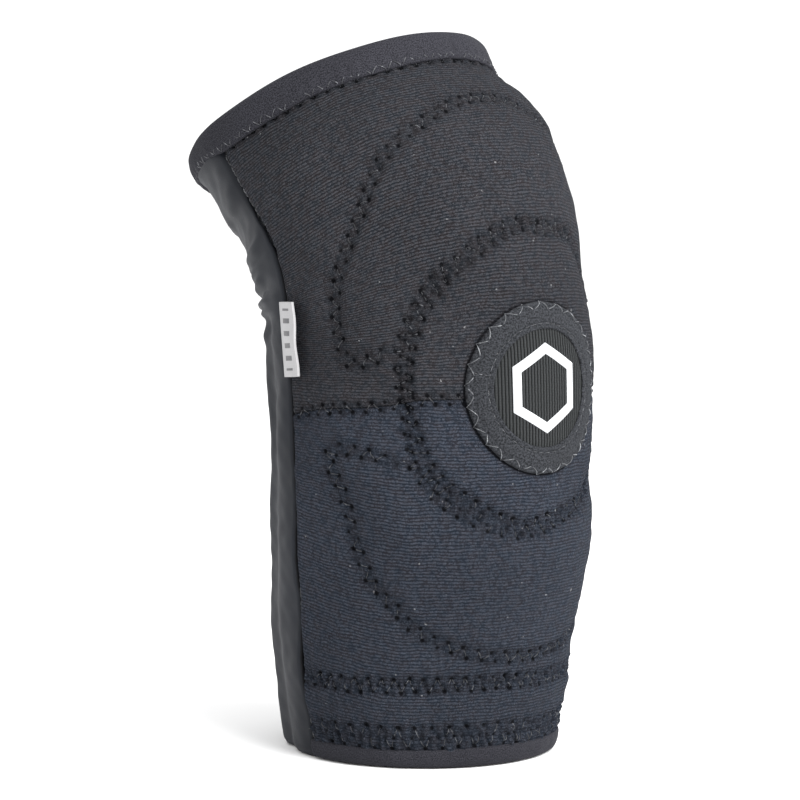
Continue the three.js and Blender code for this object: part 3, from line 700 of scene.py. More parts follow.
# ------------------------------------------------------------------ materials
class Nodes:
    def __init__(self, name):
        self.mat = bpy.data.materials.new(name)
        self.mat.use_nodes = True
        self.t = self.mat.node_tree
        self.t.nodes.clear()
        self.out = self.t.nodes.new("ShaderNodeOutputMaterial")
        self.bsdf = self.t.nodes.new("ShaderNodeBsdfPrincipled")
        self.t.links.new(self.bsdf.outputs[0], self.out.inputs["Surface"])

    def put(self, socket, value):
        if hasattr(value, "is_linked") or isinstance(value, bpy.types.NodeSocket):
            self.t.links.new(value, socket)
        elif value is not None:
            socket.default_value = value

    def node(self, kind, props=None, **inputs):
        n = self.t.nodes.new(kind)
        for k, v in (props or {}).items():
            setattr(n, k, v)
        for k, v in inputs.items():
            key = int(k[1:]) if k[0] == "i" and k[1:].isdigit() else k.replace("_", " ")
            self.put(n.inputs[key], v)
        return n

    def math(self, op, a, b=None, c=None, clamp=False):
        n = self.t.nodes.new("ShaderNodeMath")
        n.operation, n.use_clamp = op, clamp
        for i, v in enumerate((a, b, c)):
            if v is not None:
                self.put(n.inputs[i], v)
        return n.outputs[0]

    def mix(self, fac, a, b, mode="MIX"):
        n = self.t.nodes.new("ShaderNodeMix")
        n.data_type, n.blend_type, n.clamp_factor = "RGBA", mode, True
        self.put(n.inputs[0], fac)
        self.put(n.inputs[6], a)
        self.put(n.inputs[7], b)
        return n.outputs[2]

    def ramp(self, fac, lo, hi, a=0.0, b=1.0):
        n = self.t.nodes.new("ShaderNodeMapRange")
        n.clamp = True
        n.interpolation_type = "SMOOTHSTEP"
        self.put(n.inputs[0], fac)
        for i, v in zip((1, 2, 3, 4), (lo, hi, a, b)):
            self.put(n.inputs[i], v)
        return n.outputs[0]

    def noise(self, vec, scale, detail=3.0, rough=0.55):
        n = self.node("ShaderNodeTexNoise", {"noise_dimensions": "3D"}, Vector=vec, Scale=scale, Detail=detail, Roughness=rough)
        return n.outputs[0]

    def uv(self):
        return self.node("ShaderNodeUVMap", {"uv_map": "weave"}).outputs[0]

    def obj(self):
        return self.node("ShaderNodeTexCoord").outputs["Object"]

    def attr(self, name):
        return self.node("ShaderNodeAttribute", {"attribute_name": name, "attribute_type": "GEOMETRY"}).outputs["Fac"]

    def bump(self, height, strength, distance, normal=None):
        n = self.node("ShaderNodeBump", None, Strength=strength, Distance=distance, Height=height)
        if normal is not None:
            self.put(n.inputs["Normal"], normal)
        return n.outputs[0]

    def set(self, **kw):
        for k, v in kw.items():
            self.put(self.bsdf.inputs[k.replace("_", " ")], v)
        return self.mat


def rgb(r, g, b):
    return (r, g, b, 1.0)


def woven(name, dark, mid, light, fleck, fleck_amount=0.5):
    """Heavy elastic weave: fine ribs run round the limb, made of short uneven yarn floats."""
    n = Nodes(name)
    uv, ob = n.uv(), n.obj()
    sep = n.node("ShaderNodeSeparateXYZ", None, Vector=uv)
    x, y = sep.outputs[0], sep.outputs[1]
    drift = n.math("MULTIPLY", n.math("SUBTRACT", n.noise(uv, 1.2, 2.0), 0.5), 1.6)
    jit = n.math("MULTIPLY", n.math("SUBTRACT", n.noise(uv, 13.0, 2.0), 0.5), 0.55)
    v = n.math("ADD", n.math("DIVIDE", y, 0.106), n.math("ADD", drift, jit))
    row = n.math("FLOOR", v)
    rib = n.math("POWER", n.math("ABSOLUTE", n.math("SINE", n.math("MULTIPLY", v, math.pi))), 1.3)
    cell = n.node("ShaderNodeCombineXYZ", None, X=n.math("MULTIPLY", x, 7.0), Y=n.math("MULTIPLY", row, 3.71), Z=0.0).outputs[0]
    dash = n.ramp(n.noise(cell, 1.0, 2.0, 0.6), 0.36, 0.62)
    clear = n.ramp(n.noise(ob, 42.0, 2.0, 0.5), 0.38, 0.62, 0.68, 1.0)
    clear = n.math("MULTIPLY", clear, n.ramp(n.attr("dip"), 0.0, 1.0, 1.0, 0.3))
    stagger = n.math("SINE", n.math("ADD", n.math("MULTIPLY", x, 2 * math.pi / 0.155), n.math("MULTIPLY", row, math.pi)))
    grain = n.noise(uv, 23.0, 3.0, 0.85)
    fuzz = n.noise(uv, 34.0, 3.0, 0.7)
    ribs = n.math("MULTIPLY_ADD", n.math("SUBTRACT", n.ramp(rib, 0.14, 0.95, 0.16, 1.06), 0.62), clear, 0.62)
    level = n.math("MULTIPLY", ribs, n.math("MULTIPLY_ADD", dash, 0.58, 0.42))
    level = n.math("MULTIPLY", level, n.math("MULTIPLY_ADD", stagger, 0.10, 0.95))
    level = n.math("MULTIPLY", level, n.ramp(grain, 0.40, 0.60, 0.40, 1.62))
    # yarn floats are lighter than the gaps between the ribs; the near-black gaps are partly the yarn's own colour and
    # partly painted shade
    col = n.mix(n.ramp(level, 0.08, 1.05), rgb(*dark), rgb(*mid))
    # painted highlight: the light colour laid on the raised, fuzzy yarn tops
    yarn_highlight = n.math("MULTIPLY", n.ramp(fuzz, 0.5, 0.66), n.ramp(level, 0.35, 1.0))
    col = n.mix(n.math("MULTIPLY", yarn_highlight, 0.6), col, rgb(*light))
    spot = n.math("MULTIPLY", n.ramp(n.noise(uv, 36.0, 2.0, 0.5), 0.64, 0.72), fleck_amount)
    col = n.mix(spot, col, rgb(*fleck))
    tint = n.ramp(n.noise(uv, 3.4, 3.0, 0.6), 0.38, 0.62)
    col = n.mix(0.26, col, n.mix(tint, rgb(mid[0] * 0.5, mid[1] * 0.4, mid[2] * 0.36), rgb(mid[0] * 0.3, mid[1] * 0.4, mid[2] * 0.46)))
    lint = n.ramp(n.noise(ob, 640.0, 1.0, 0.5), 0.785, 0.80)
    col = n.mix(n.math("MULTIPLY", lint, 0.6), col, rgb(0.36, 0.36, 0.37))
    shade = n.ramp(n.noise(ob, 18.0, 3.0, 0.5), 0.25, 0.75, 0.86, 1.14)
    col = n.mix(1.0, col, n.node("ShaderNodeCombineXYZ", None, X=shade, Y=shade, Z=shade).outputs[0], "MULTIPLY")
    recess_shade, dip = n.attr("recess_shade"), n.attr("dip")
    # painted shade: stitched grooves darkened, and needle pits, seam grooves and the gap round the badge made near
    # black
    col = n.mix(n.math("MULTIPLY", dip, 0.30), col, rgb(dark[0] * 0.5, dark[1] * 0.5, dark[2] * 0.5))
    col = n.mix(n.math("MULTIPLY", n.ramp(recess_shade, 0.18, 0.6), 0.93), col, rgb(0.0022, 0.0022, 0.003))
    height = n.math("ADD", n.math("MULTIPLY", level, 0.85), n.math("MULTIPLY", fuzz, 0.3))
    nrm = n.bump(height, 1.0, 0.0005)
    rough = n.ramp(grain, 0.2, 0.9, 0.84, 1.0)
    return n.set(Base_Color=col, Roughness=rough, Normal=nrm, Sheen_Weight=0.02, Sheen_Roughness=0.5, Sheen_Tint=rgb(0.8, 0.85, 1.0), Specular_IOR_Level=0.04)


def jersey(name, base, light, pitch=0.05, sheen=0.3, rough=0.62, bump=0.25, coarse=30.0, shine=0.1):
    """Smooth stretch knit with a very fine wale."""
    n = Nodes(name)
    uv, ob = n.uv(), n.obj()
    sep = n.node("ShaderNodeSeparateXYZ", None, Vector=uv)
    wale = n.math("SINE", n.math("MULTIPLY", sep.outputs[0], 2 * math.pi / pitch))
    course = n.math("SINE", n.math("ADD", n.math("MULTIPLY", sep.outputs[1], 2 * math.pi / (pitch * 0.8)), n.math("MULTIPLY", wale, 0.8)))
    knit = n.math("MULTIPLY_ADD", n.math("MULTIPLY", wale, course), 0.5, 0.5)
    grain = n.noise(uv, coarse, 4.0, 0.72)
    big = n.noise(ob, 22.0, 4.0, 0.55)
    lint = n.ramp(n.noise(ob, 620.0, 1.5, 0.5), 0.77, 0.81)
    weave = n.math("MULTIPLY", n.math("MULTIPLY_ADD", knit, 0.5, 0.5), n.ramp(grain, 0.38, 0.62, 0.0, 1.3))
    col = n.mix(n.math("MULTIPLY", weave, 0.8), rgb(*base), rgb(*light))
    shade = n.ramp(big, 0.25, 0.75, 0.86, 1.14)
    col = n.mix(1.0, col, n.node("ShaderNodeCombineXYZ", None, X=shade, Y=shade, Z=shade).outputs[0], "MULTIPLY")
    col = n.mix(n.math("MULTIPLY", lint, 0.3), col, rgb(0.25, 0.25, 0.26))
    # painted shade along the seam grooves, from the mask where a mesh carries one
    col = n.mix(n.math("MULTIPLY", n.ramp(n.attr("recess_shade"), 0.15, 0.6), 0.9), col, rgb(0.0022, 0.0022, 0.003))
    height = n.math("ADD", n.math("MULTIPLY", knit, 0.5), n.math("MULTIPLY", grain, 0.5))
    nrm = n.bump(height, bump, 0.0002)
    return n.set(Base_Color=col, Roughness=n.ramp(grain, 0.2, 0.9, rough - 0.08, rough + 0.1), Normal=nrm, Sheen_Weight=sheen, Sheen_Roughness=0.4, Sheen_Tint=rgb(0.85, 0.88, 1.0), Specular_IOR_Level=shine)


def foam(name, base, scale):
    n = Nodes(name)
    ob = n.obj()
    v = n.node("ShaderNodeTexVoronoi", {"feature": "DISTANCE_TO_EDGE"}, Vector=ob, Scale=scale).outputs["Distance"]
    big = n.noise(ob, 60.0, 3.0)
    cell = n.ramp(v, 0.0, 0.12)
    col = n.mix(cell, rgb(base[0] * 1.5, base[1] * 1.5, base[2] * 1.5), rgb(*base))
    col = n.mix(n.ramp(big, 0.3, 0.7, 0.0, 0.35), col, rgb(base[0] * 0.7, base[1] * 0.7, base[2] * 0.72))
    return n.set(Base_Color=col, Roughness=0.86, Normal=n.bump(cell, 0.5, 0.0003), Specular_IOR_Level=0.25)


def strand(name, base, light, sheen=0.2):
    """Twisted sewing thread; its lighter colour along the twist is painted glint."""
    n = Nodes(name)
    uv, ob = n.uv(), n.obj()
    sep = n.node("ShaderNodeSeparateXYZ", None, Vector=uv)
    twist = n.math("SINE", n.math("ADD", n.math("MULTIPLY", sep.outputs[0], 2 * math.pi / 0.06), n.math("MULTIPLY", sep.outputs[1], 2 * math.pi / 0.065)))
    t = n.math("MULTIPLY_ADD", twist, 0.5, 0.5)
    var = n.noise(ob, 900.0, 2.0)
    some = n.ramp(n.noise(ob, 420.0, 1.0), 0.44, 0.62, 0.12, 1.0)
    # painted highlight: glints along the twist, light colour in scattered patches
    col = n.mix(n.math("MULTIPLY", n.math("MULTIPLY", t, some), n.ramp(var, 0.3, 0.65)), rgb(*base), rgb(*light))
    return n.set(Base_Color=col, Roughness=0.45, Normal=n.bump(t, 0.6, 0.00008), Sheen_Weight=sheen, Sheen_Roughness=0.3, Specular_IOR_Level=0.4)


M_LOWER = woven("woven_slate", (0.0050, 0.0061, 0.0090), (0.072, 0.082, 0.108), (0.140, 0.158, 0.195), (0.19, 0.21, 0.25))
M_UPPER = woven("woven_charcoal", (0.0052, 0.0054, 0.0066), (0.077, 0.078, 0.089), (0.138, 0.141, 0.158), (0.19, 0.19, 0.21))
M_BACK = jersey("stretch_jersey", (0.0076, 0.0086, 0.0114), (0.0160, 0.0181, 0.0232), 0.05, 0.03, 0.56, 0.25, 30.0, 0.12)
M_HEM = jersey("hem_binding_knit", (0.0050, 0.0050, 0.0070), (0.044, 0.044, 0.053), 0.06, 0.02, 0.9, 0.7, 25.0)
M_BADGE = jersey("badge_knit", (0.005, 0.0055, 0.0066), (0.050, 0.053, 0.060), 0.055, 0.02, 0.9, 0.8, 17.0)
M_LINING = jersey("lining_brushed", (0.012, 0.012, 0.014), (0.034, 0.034, 0.038), 0.09, 0.5, 0.9, 0.6)
M_TAPE = jersey("seam_tape_knit", (0.018, 0.018, 0.021), (0.045, 0.045, 0.05), 0.12, 0.3, 0.8, 0.7)
M_FOAM_HARD = foam("foam_closed_cell", (0.045, 0.046, 0.05), 1500)
M_FOAM = foam("foam_open_cell", (0.075, 0.075, 0.08), 900)
# one dark thread in three copies, dark, half-lit and lit; the lighter bases and glints of the last two are painted
# highlight
M_THREAD = strand("thread_black", (0.016, 0.017, 0.020), (0.24, 0.25, 0.27), 0.05)
M_THREAD_MID = strand("thread_half_lit_painted_highlight", (0.024, 0.025, 0.029), (0.30, 0.31, 0.33), 0.05)
M_THREAD_LIT = strand("thread_lit_painted_highlight", (0.06, 0.063, 0.07), (0.50, 0.52, 0.55), 0.1)


def ribbed_material():
    n = Nodes("badge_ribbed_webbing")
    uv, ob = n.uv(), n.obj()
    sep = n.node("ShaderNodeSeparateXYZ", None, Vector=uv)
    ribs = n.math("ABSOLUTE", n.math("SINE", n.math("MULTIPLY", sep.outputs[0], math.pi / 0.115)))
    picks = n.math("ABSOLUTE", n.math("SINE", n.math("MULTIPLY", sep.outputs[1], math.pi / 0.05)))
    grain = n.noise(uv, 34.0, 3.0, 0.7)
    level = n.math("MULTIPLY", n.ramp(ribs, 0.15, 0.9), n.math("MULTIPLY_ADD", picks, 0.4, 0.6))
    col = n.mix(n.math("MULTIPLY", level, n.ramp(grain, 0.2, 0.8, 0.6, 1.2)), rgb(0.0026, 0.0031, 0.0035), rgb(0.030, 0.0325, 0.0335))
    spot = n.ramp(n.noise(uv, 50.0, 2.0, 0.5), 0.66, 0.75)
    col = n.mix(n.math("MULTIPLY", spot, 0.35), col, rgb(0.16, 0.17, 0.17))
    return n.set(Base_Color=col, Roughness=0.86, Normal=n.bump(level, 0.7, 0.0003), Sheen_Weight=0.05, Sheen_Roughness=0.4, Specular_IOR_Level=0.15)


def print_material():
    n = Nodes("printed_white_ink")
    uv, ob = n.uv(), n.obj()
    sep = n.node("ShaderNodeSeparateXYZ", None, Vector=uv)
    ribs = n.math("ABSOLUTE", n.math("SINE", n.math("MULTIPLY", sep.outputs[0], math.pi / 0.112)))
    grain = n.noise(uv, 22.0, 4.0, 0.7)
    col = n.mix(n.ramp(grain, 0.35, 0.75), rgb(0.49, 0.50, 0.515), rgb(0.58, 0.59, 0.60))
    wear = n.ramp(n.noise(uv, 55.0, 3.0, 0.7), 0.72, 0.8)
    col = n.mix(n.math("MULTIPLY", wear, 0.35), col, rgb(0.3, 0.31, 0.32))
    height = n.math("ADD", n.math("MULTIPLY", ribs, 0.5), grain)
    return n.set(Base_Color=col, Roughness=n.ramp(grain, 0.3, 0.8, 0.42, 0.6), Normal=n.bump(height, 0.3, 0.0002), Specular_IOR_Level=0.2)


def elastic_material():
    n = Nodes("elastic_webbing")
    uv, ob = n.uv(), n.obj()
    sep = n.node("ShaderNodeSeparateXYZ", None, Vector=uv)
    cord = n.math("ABSOLUTE", n.math("SINE", n.math("MULTIPLY", sep.outputs[1], math.pi / 0.11)))
    ends = n.math("ABSOLUTE", n.math("SINE", n.math("MULTIPLY", sep.outputs[0], math.pi / 0.07)))
    level = n.math("MULTIPLY", n.ramp(cord, 0.1, 0.9), n.math("MULTIPLY_ADD", ends, 0.35, 0.65))
    lines = n.attr("silicone")
    grain = n.noise(uv, 30.0, 3.0, 0.6)
    col = n.mix(n.math("MULTIPLY", level, n.ramp(grain, 0.2, 0.8, 0.7, 1.1)), rgb(0.008, 0.008, 0.009), rgb(0.038, 0.038, 0.041))
    col = n.mix(lines, col, rgb(0.05, 0.052, 0.055))
    rough = n.math("MULTIPLY_ADD", lines, -0.5, 0.8)
    height = n.math("MULTIPLY", level, n.math("SUBTRACT", 1.0, lines))
    return n.set(Base_Color=col, Roughness=rough, Normal=n.bump(height, 0.7, 0.0003), Specular_IOR_Level=0.4)


def label_material():
    n = Nodes("label_woven_satin")
    uv, ob = n.uv(), n.obj()
    sep = n.node("ShaderNodeSeparateXYZ", None, Vector=uv)
    x, y = sep.outputs[0], sep.outputs[1]  # across and along the tape, centimetres
    weave = n.math("ABSOLUTE", n.math("SINE", n.math("MULTIPLY", x, math.pi / 0.03)))
    pick = n.math("SINE", n.math("MULTIPLY", y, 2 * math.pi / 0.035))
    grain = n.noise(uv, 24.0, 3.0, 0.6)
    col = n.mix(n.math("MULTIPLY", weave, n.ramp(grain, 0.3, 0.7, 0.5, 1.0)), rgb(0.254, 0.251, 0.257), rgb(0.385, 0.382, 0.390))
    # plain woven bars, evenly spaced
    saw = n.math("FRACT", n.math("DIVIDE", n.math("ADD", y, 10.0), 0.40))
    bar = n.math("MULTIPLY", n.math("GREATER_THAN", saw, 0.30), n.math("LESS_THAN", saw, 0.70))
    band = n.math("MULTIPLY", n.math("GREATER_THAN", x, 0.24), n.math("LESS_THAN", x, 0.74))
    mid = n.math("LESS_THAN", n.math("ABSOLUTE", n.math("ADD", y, 0.0)), 1.0)
    ink = n.math("MULTIPLY", n.math("MULTIPLY", bar, band), mid)
    col = n.mix(n.math("MULTIPLY", ink, 0.9), col, rgb(0.02, 0.02, 0.025))
    height = n.math("ADD", weave, n.math("MULTIPLY", pick, 0.4))
    return n.set(Base_Color=col, Roughness=n.ramp(grain, 0.2, 0.8, 0.4, 0.55), Normal=n.bump(height, 0.3, 0.0001), Sheen_Weight=0.3, Sheen_Roughness=0.3, Specular_IOR_Level=0.5)


M_RIB, M_PRINT, M_ELASTIC, M_LABEL = ribbed_material(), print_material(), elastic_material(), label_material()

# ------------------------------------------------------------------ binding to the bodies
MID = np.array([1.93, -9.13, 158.67])
NRM = np.array([0.0, 0.36, 0.93295])
AREA = {}


def finish_piece(ob, material, nodes=(), body=None):
    ob.data.materials.append(material)
    me = ob.data
    co = np.zeros(len(me.vertices) * 3, np.float32)
    me.vertices.foreach_get("co", co)
    t = ((co.reshape(-1, 3) * 1000 - MID) @ NRM + 40) / 80
    if body is None:
        lo, hi = t.min(), t.max()
        body = "forearm_sleeve" if hi < 0.04 else "upper_arm_sleeve" if lo > 0.96 else None
    if body is None:
        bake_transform(ob)
    else:
        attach(ob, body)
    if nodes:
        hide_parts(*nodes)
    AREA[ob.name] = sum(p.area for p in me.polygons)
    return ob


# ------------------------------------------------------------------ woven panels
def front_grid(s0, s1, step_mm):
    """Grid between two edges that are functions of phi, from side seam to side seam."""
    cols = int(87 / step_mm * FINE) * 2 + 1
    rows = int((s1(0) - s0(0)) * 0.56 / step_mm * FINE) * 2 + 1
    t = np.linspace(0, 1, rows)[:, None]
    w = np.linspace(-1, 1, cols)[None]
    P = w * (SEAM - 0.5) + 0 * t
    S = s0(P) + (s1(P) - s0(P)) * t
    P = w * (seam_at(S) - 0.5)
    S = s0(P) + (s1(P) - s0(P)) * t
    return S, P


def woven_panel(name, s0, s1, material, nodes):
    S, P = front_grid(s0, s1, 0.46)
    o = -sample(_D, S, P)
    s2, p2 = S[::2, ::2], P[::2, ::2]
    lin = np.maximum(-sample(_D, s2, p2), -1.2) + SKIN_T
    uv = np.stack([np.radians(P) * 5.3, sample(_V, S, P) / 10], -1)
    ob = shell2(name, at(S, P, o), at(s2, p2, lin), uv, {"recess_shade": sample(_RECESS_SHADE, S, P), "dip": sample(_DIP, S, P)})
    return finish_piece(ob, material, nodes)


low_panel = woven_panel("woven_panel_forearm", lambda p: 4.6 + 0 * p, lambda p: mid_s(p) - 0.12, M_LOWER, ["front_panel_lower"])
up_panel = woven_panel("woven_panel_upper_arm", lambda p: mid_s(p) + 0.12, lambda p: HEM_S(p) + 3.0, M_UPPER, ["front_panel_elbow", "front_panel_upper"])

# ------------------------------------------------------------------ stretch panel at the back
cols, rows = int(172 / 0.75 * FINE), int(210 / 0.75 * FINE)
t = np.linspace(0, 1, rows)[:, None]
w = np.linspace(0, 1, cols)[None]
S = 0.0 + (HEM_S(140.0) + 2.4) * t + 0 * w
P = seam_at(S) + 0.5 + (360 - 2 * seam_at(S) - 1.0) * w
S = (HEM_S(P) + 2.4) * t
o = -back_relief(S, P)
uv = np.stack([np.radians(P) * 5.0, S / 10], -1)
# the mask paints shade into the seam grooves
back_panel = shell("stretch_back_panel", at(S, P, o), at(S, P, o + 1.0), uv, {"recess_shade": np.exp(-(((np.minimum(P, 360 - P) - seam_at(S)) / 0.9) ** 2))})
finish_piece(back_panel, M_BACK, ["back_panel_lower", "back_panel_upper"])


# ------------------------------------------------------------------ lining
def lining_out(s, p):
    return np.maximum(FOAM_OUT + padding(s, p) + 0.3, -sample(_D, s, p) + SKIN_T + 0.35)


t, w = np.meshgrid(np.linspace(0, 1, int(190 / 1.1)), np.linspace(-1, 1, int(170 / 1.1)), indexing="ij")
P = w * (SEAM - 3.8)
S = 14.0 + (HEM_S(P) - 12.5) * t
P = w * (seam_at(S) - 3.8)
S = 14.0 + (HEM_S(P) - 12.5) * t
o = lining_out(S, P) + waves(S, P, 0.12, 12, 21)
uv = np.stack([np.radians(P) * 4.6, sample(_V, S, P) / 10], -1)
lining = shell("inner_lining", at(S, P, o), at(S, P, o + 0.9), uv)
finish_piece(lining, M_LINING, ["lining_lower", "lining_upper"])


# ------------------------------------------------------------------ foam
def foam_out(s, p):
    return np.maximum(FOAM_OUT, -sample(_D, s, p) + SKIN_T + 0.12)


def disc_shell(name, radius, rings, cols, place, top, bottom, uv_scale=0.1):
    """Closed round piece: place(r, psi) gives (s, phi), top and bottom give offsets."""
    r = radius * np.sin(np.linspace(0.0, math.pi / 2, rings))[1:]
    psi = np.linspace(0, 360, cols, endpoint=False)
    R, Q = np.meshgrid(r, psi, indexing="ij")
    s, p = place(R, Q)
    a, b = at(s, p, top(R, Q, s, p)), at(s, p, bottom(R, Q, s, p))
    s0, p0 = place(np.array(0.0), np.array(0.0))
    z = np.array(0.0)
    ca, cb = at(s0, p0, top(z, z, s0, p0)), at(s0, p0, bottom(z, z, s0, p0))
    m, n = R.shape
    k = m * n
    q = [grid_quads(m, n, wrap=True), grid_quads(m, n, k, flip=True, wrap=True)]
    j = np.arange(n)
    e = (m - 1) * n
    q.append(np.stack([e + j, e + (j + 1) % n, k + e + (j + 1) % n, k + e + j], 1))
    tris = np.concatenate([np.stack([j, (j + 1) % n, np.full(n, 2 * k)], 1)[:, ::-1], np.stack([k + j, k + (j + 1) % n, np.full(n, 2 * k + 1)], 1)])
    x, y = R * np.sin(np.radians(Q)) * uv_scale, R * np.cos(np.radians(Q)) * uv_scale
    uv = np.concatenate([np.stack([x, y], -1).reshape(-1, 2)] * 2 + [np.zeros((2, 2))])
    ob = mesh(name, np.vstack([a.reshape(-1, 3), b.reshape(-1, 3), ca[None] if ca.ndim == 1 else ca, cb[None] if cb.ndim == 1 else cb]), np.concatenate(q), uv, tris=tris)
    return outward(ob)


def dome(r, R):
    return 1 - np.clip(r / R, 0, 1) ** 8


cap_hard = disc_shell("elbow_cap_dense_foam", CAP_R, 22, 96, from_layout, lambda r, q, s, p: foam_out(s, p) + 0.35 * (1 - dome(r, CAP_R)), lambda r, q, s, p: np.maximum(foam_out(s, p) + 0.5, FOAM_OUT + 0.45 * padding(s, p) - 0.15))
finish_piece(cap_hard, M_FOAM_HARD, ["cap_foam_outer"])
cap_soft = disc_shell("elbow_cap_soft_foam", CAP_R, 22, 96, from_layout, lambda r, q, s, p: np.maximum(foam_out(s, p) + 0.65, FOAM_OUT + 0.45 * padding(s, p) + 0.05), lambda r, q, s, p: np.maximum(foam_out(s, p) + 0.9, FOAM_OUT + padding(s, p) - 0.3 * (1 - dome(r, CAP_R))))
finish_piece(cap_soft, M_FOAM, ["cap_foam_inner"])


def arch_foam(name, edge, last, up_side, node):
    q = np.linspace(-last, last, 90)
    t = np.linspace(0, 1, 20)
    T, Q = np.meshgrid(t, q, indexing="ij")
    R = INNER_EDGE + 0.3 + (edge(np.abs(Q)) - 1.9 - INNER_EDGE) * T
    s, p = from_layout(R, Q if up_side else 180 - Q)
    rnd = 1 - np.abs(2 * T - 1) ** 6
    o1 = foam_out(s, p) + 0.5 * (1 - rnd)
    o2 = np.maximum(FOAM_OUT + padding(s, p) - 0.6 * (1 - rnd), o1 + 0.5)
    uv = np.stack([np.radians(Q) * R / 10, R / 10], -1)
    ob = shell(name, at(s, p, o1), at(s, p, o2), uv)
    finish_piece(ob, M_FOAM, [node])


arch_foam("forearm_arch_foam", LOWER_EDGE, LOWER_LAST, False, "forearm_pad_foam")
arch_foam("upper_arm_arch_foam", UPPER_EDGE, UPPER_LAST, True, "upper_arm_pad_foam")


# ------------------------------------------------------------------ hems
def closed_curve(pts, n):
    """Smooth closed curve through points, evenly sampled."""
    p = np.asarray(pts, float)
    m = len(p)
    out = []
    for i in range(m):
        a, b, c, d = p[i - 1], p[i], p[(i + 1) % m], p[(i + 2) % m]
        for t in np.linspace(0, 1, 8, endpoint=False):
            out.append(0.5 * (2 * b + (c - a) * t + (2 * a - 5 * b + 4 * c - d) * t * t + (3 * b - a - 3 * c + d) * t**3))
    out = np.array(out)
    arc = np.concatenate([[0], np.cumsum(np.linalg.norm(np.diff(np.vstack([out, out[:1]]), axis=0), axis=1))])
    want = np.linspace(0, arc[-1], n, endpoint=False)
    full = np.vstack([out, out[:1]])
    return np.stack([np.interp(want, arc, full[:, 0]), np.interp(want, arc, full[:, 1])], 1)


def pinch(S, P, rows_pts, line, depth=0.45, wide=0.8):
    """Small dents where a row of needles goes in."""
    out = np.zeros(S.shape)
    s, p = line.at(rows_pts[:, 0], rows_pts[:, 1])
    ms, mp = metric(s, p)
    for s0, p0, a, b in zip(s, p, ms, mp):
        d = ((P - p0 + 180) % 360 - 180) * b
        m = np.abs(d) < 2.5
        q = np.where(m, ((S - s0) * a) ** 2 + d**2, 99)
        out += depth * np.exp(-q / wide)
    return out


top_prof = closed_curve(
    [(0.0, 0.9), (-0.02, 0.1), (0.02, -0.5), (0.12, -0.95), (0.3, -1.15), (0.55, -1.25), (0.8, -1.15), (0.93, -0.75), (1.0, 0.0), (1.02, 0.75), (0.985, 1.5), (0.9, 2.05), (0.7, 2.3), (0.4, 2.35), (0.1, 2.35), (0.05, 2.0), (0.1, 1.6), (0.12, 1.3)],
    64,
)


def top_place(T, O, P):
    lo = HEM_S(P)
    q = turn(P)
    hi = LENGTH + 0.35 * np.sin(np.radians(P * 3 + 25)) + 0.25 * np.sin(np.radians(P * 8)) - 5.0 * np.exp(-(((q + 46) / 13) ** 2))
    hi = hi + 1.3 + 0.5 * np.exp(-(((q + 12) / 12) ** 2)) + 0.7 * step((q - 30) / 50) * step((178 - q) / 30)
    S = lo + (hi - lo) * T
    outside = np.clip(1 - (O + 1.3) / 1.2, 0, 1)
    O = O - waves(S, P, 0.22, 18, 31) * outside
    O = O + outside * pinch(S, P, NEEDLES["hem_top"], LINE_HEM_TOP)
    O = O + outside * 0.28 * np.exp(-(((T - 0.3) / 0.12) ** 2)) * np.cos(2 * math.pi * np.radians(P) * 52 / 4.6)
    return S, O + tuck(S, P)


hem_top = loop_band("hem_binding_upper_arm", top_prof, int(340 / 0.8 * FINE), top_place)
finish_piece(hem_top, M_HEM, ["hem_band_upper"])

low_prof = closed_curve(
    [(5.9, 0.9), (5.95, 0.35), (5.6, -0.1), (4.9, -0.4), (3.8, -0.6), (2.4, -0.6), (1.1, -0.35), (0.3, 0.2), (0.0, 1.1), (0.25, 2.0), (1.2, 2.8), (3.5, 3.2), (8, 3.3), (12.6, 3.3), (13.2, 3.05), (12.6, 2.75), (8, 2.5), (6.2, 2.1), (5.8, 1.5)],
    72,
)


def low_place(T, O, P):
    outside = np.clip(1 - (O + 0.85) / 1.2, 0, 1)
    S = T + 0.25 * np.sin(np.radians(P * 4 + 50)) * np.clip((T - 1) / 5, 0, 1)
    O = O - waves(S, P, 0.18, 14, 33) * outside
    O = O + outside * pinch(S, P, NEEDLES["hem_low"], LINE_HEM_LOW, 0.5, 0.9)
    O = O + outside * 0.2 * np.exp(-(((S - 4.6) / 1.4) ** 2)) * np.cos(2 * math.pi * np.radians(P) * 46 / 5.2)
    return S, O


hem_low = strip_band("hem_binding_forearm", low_prof, np.linspace(-93.4, 93.4, int(150 / 0.8 * FINE)), low_place)
finish_piece(hem_low, M_HEM, ["hem_band_lower"])


# ------------------------------------------------------------------ elastic inside the openings
def grip(name, s0, s1, base_off, node, amp, pinched=None):
    prof = closed_curve([(s0, base_off), (s0 + 0.4, base_off - 0.05), (s1 - 0.4, base_off - 0.05), (s1, base_off), (s1 + 0.1, base_off + 0.5), (s1 - 0.3, base_off + 0.9), (s0 + 0.3, base_off + 0.9), (s0 - 0.1, base_off + 0.5)], 60)
    mid, half = (s0 + s1) / 2, (s1 - s0) / 2

    def line(S, P):
        out = np.zeros(S.shape)
        for k in (-0.5, 0.0, 0.5):
            c = mid + k * half + 0.9 * np.sin(np.radians(P) * 14 + k * 3)
            out = np.maximum(out, np.exp(-(((S - c) / 0.55) ** 4)))
        return out

    def place(S, O, P):
        q = np.abs(((P + 180) % 360) - 180)
        O = O + amp(q)
        inside = np.clip((O - amp(q) - base_off - 0.4) / 0.4, 0, 1)
        if pinched is not None:
            O = O + pinched(S, P)
        return S, O + 0.35 * line(S, P) * inside

    ob = loop_band(name, prof, int(300 / 0.9 * FINE), place, {"silicone": line})
    finish_piece(ob, M_ELASTIC, [node])


grip("grip_elastic_forearm", 1.6, 14.6, 3.8, "gripper_lower", lambda q: -1.4 * step((q - 96) / 6))
grip("grip_elastic_upper_arm", 207.2, 216.4, 2.65, "gripper_upper", lambda q: 0 * q, tuck)


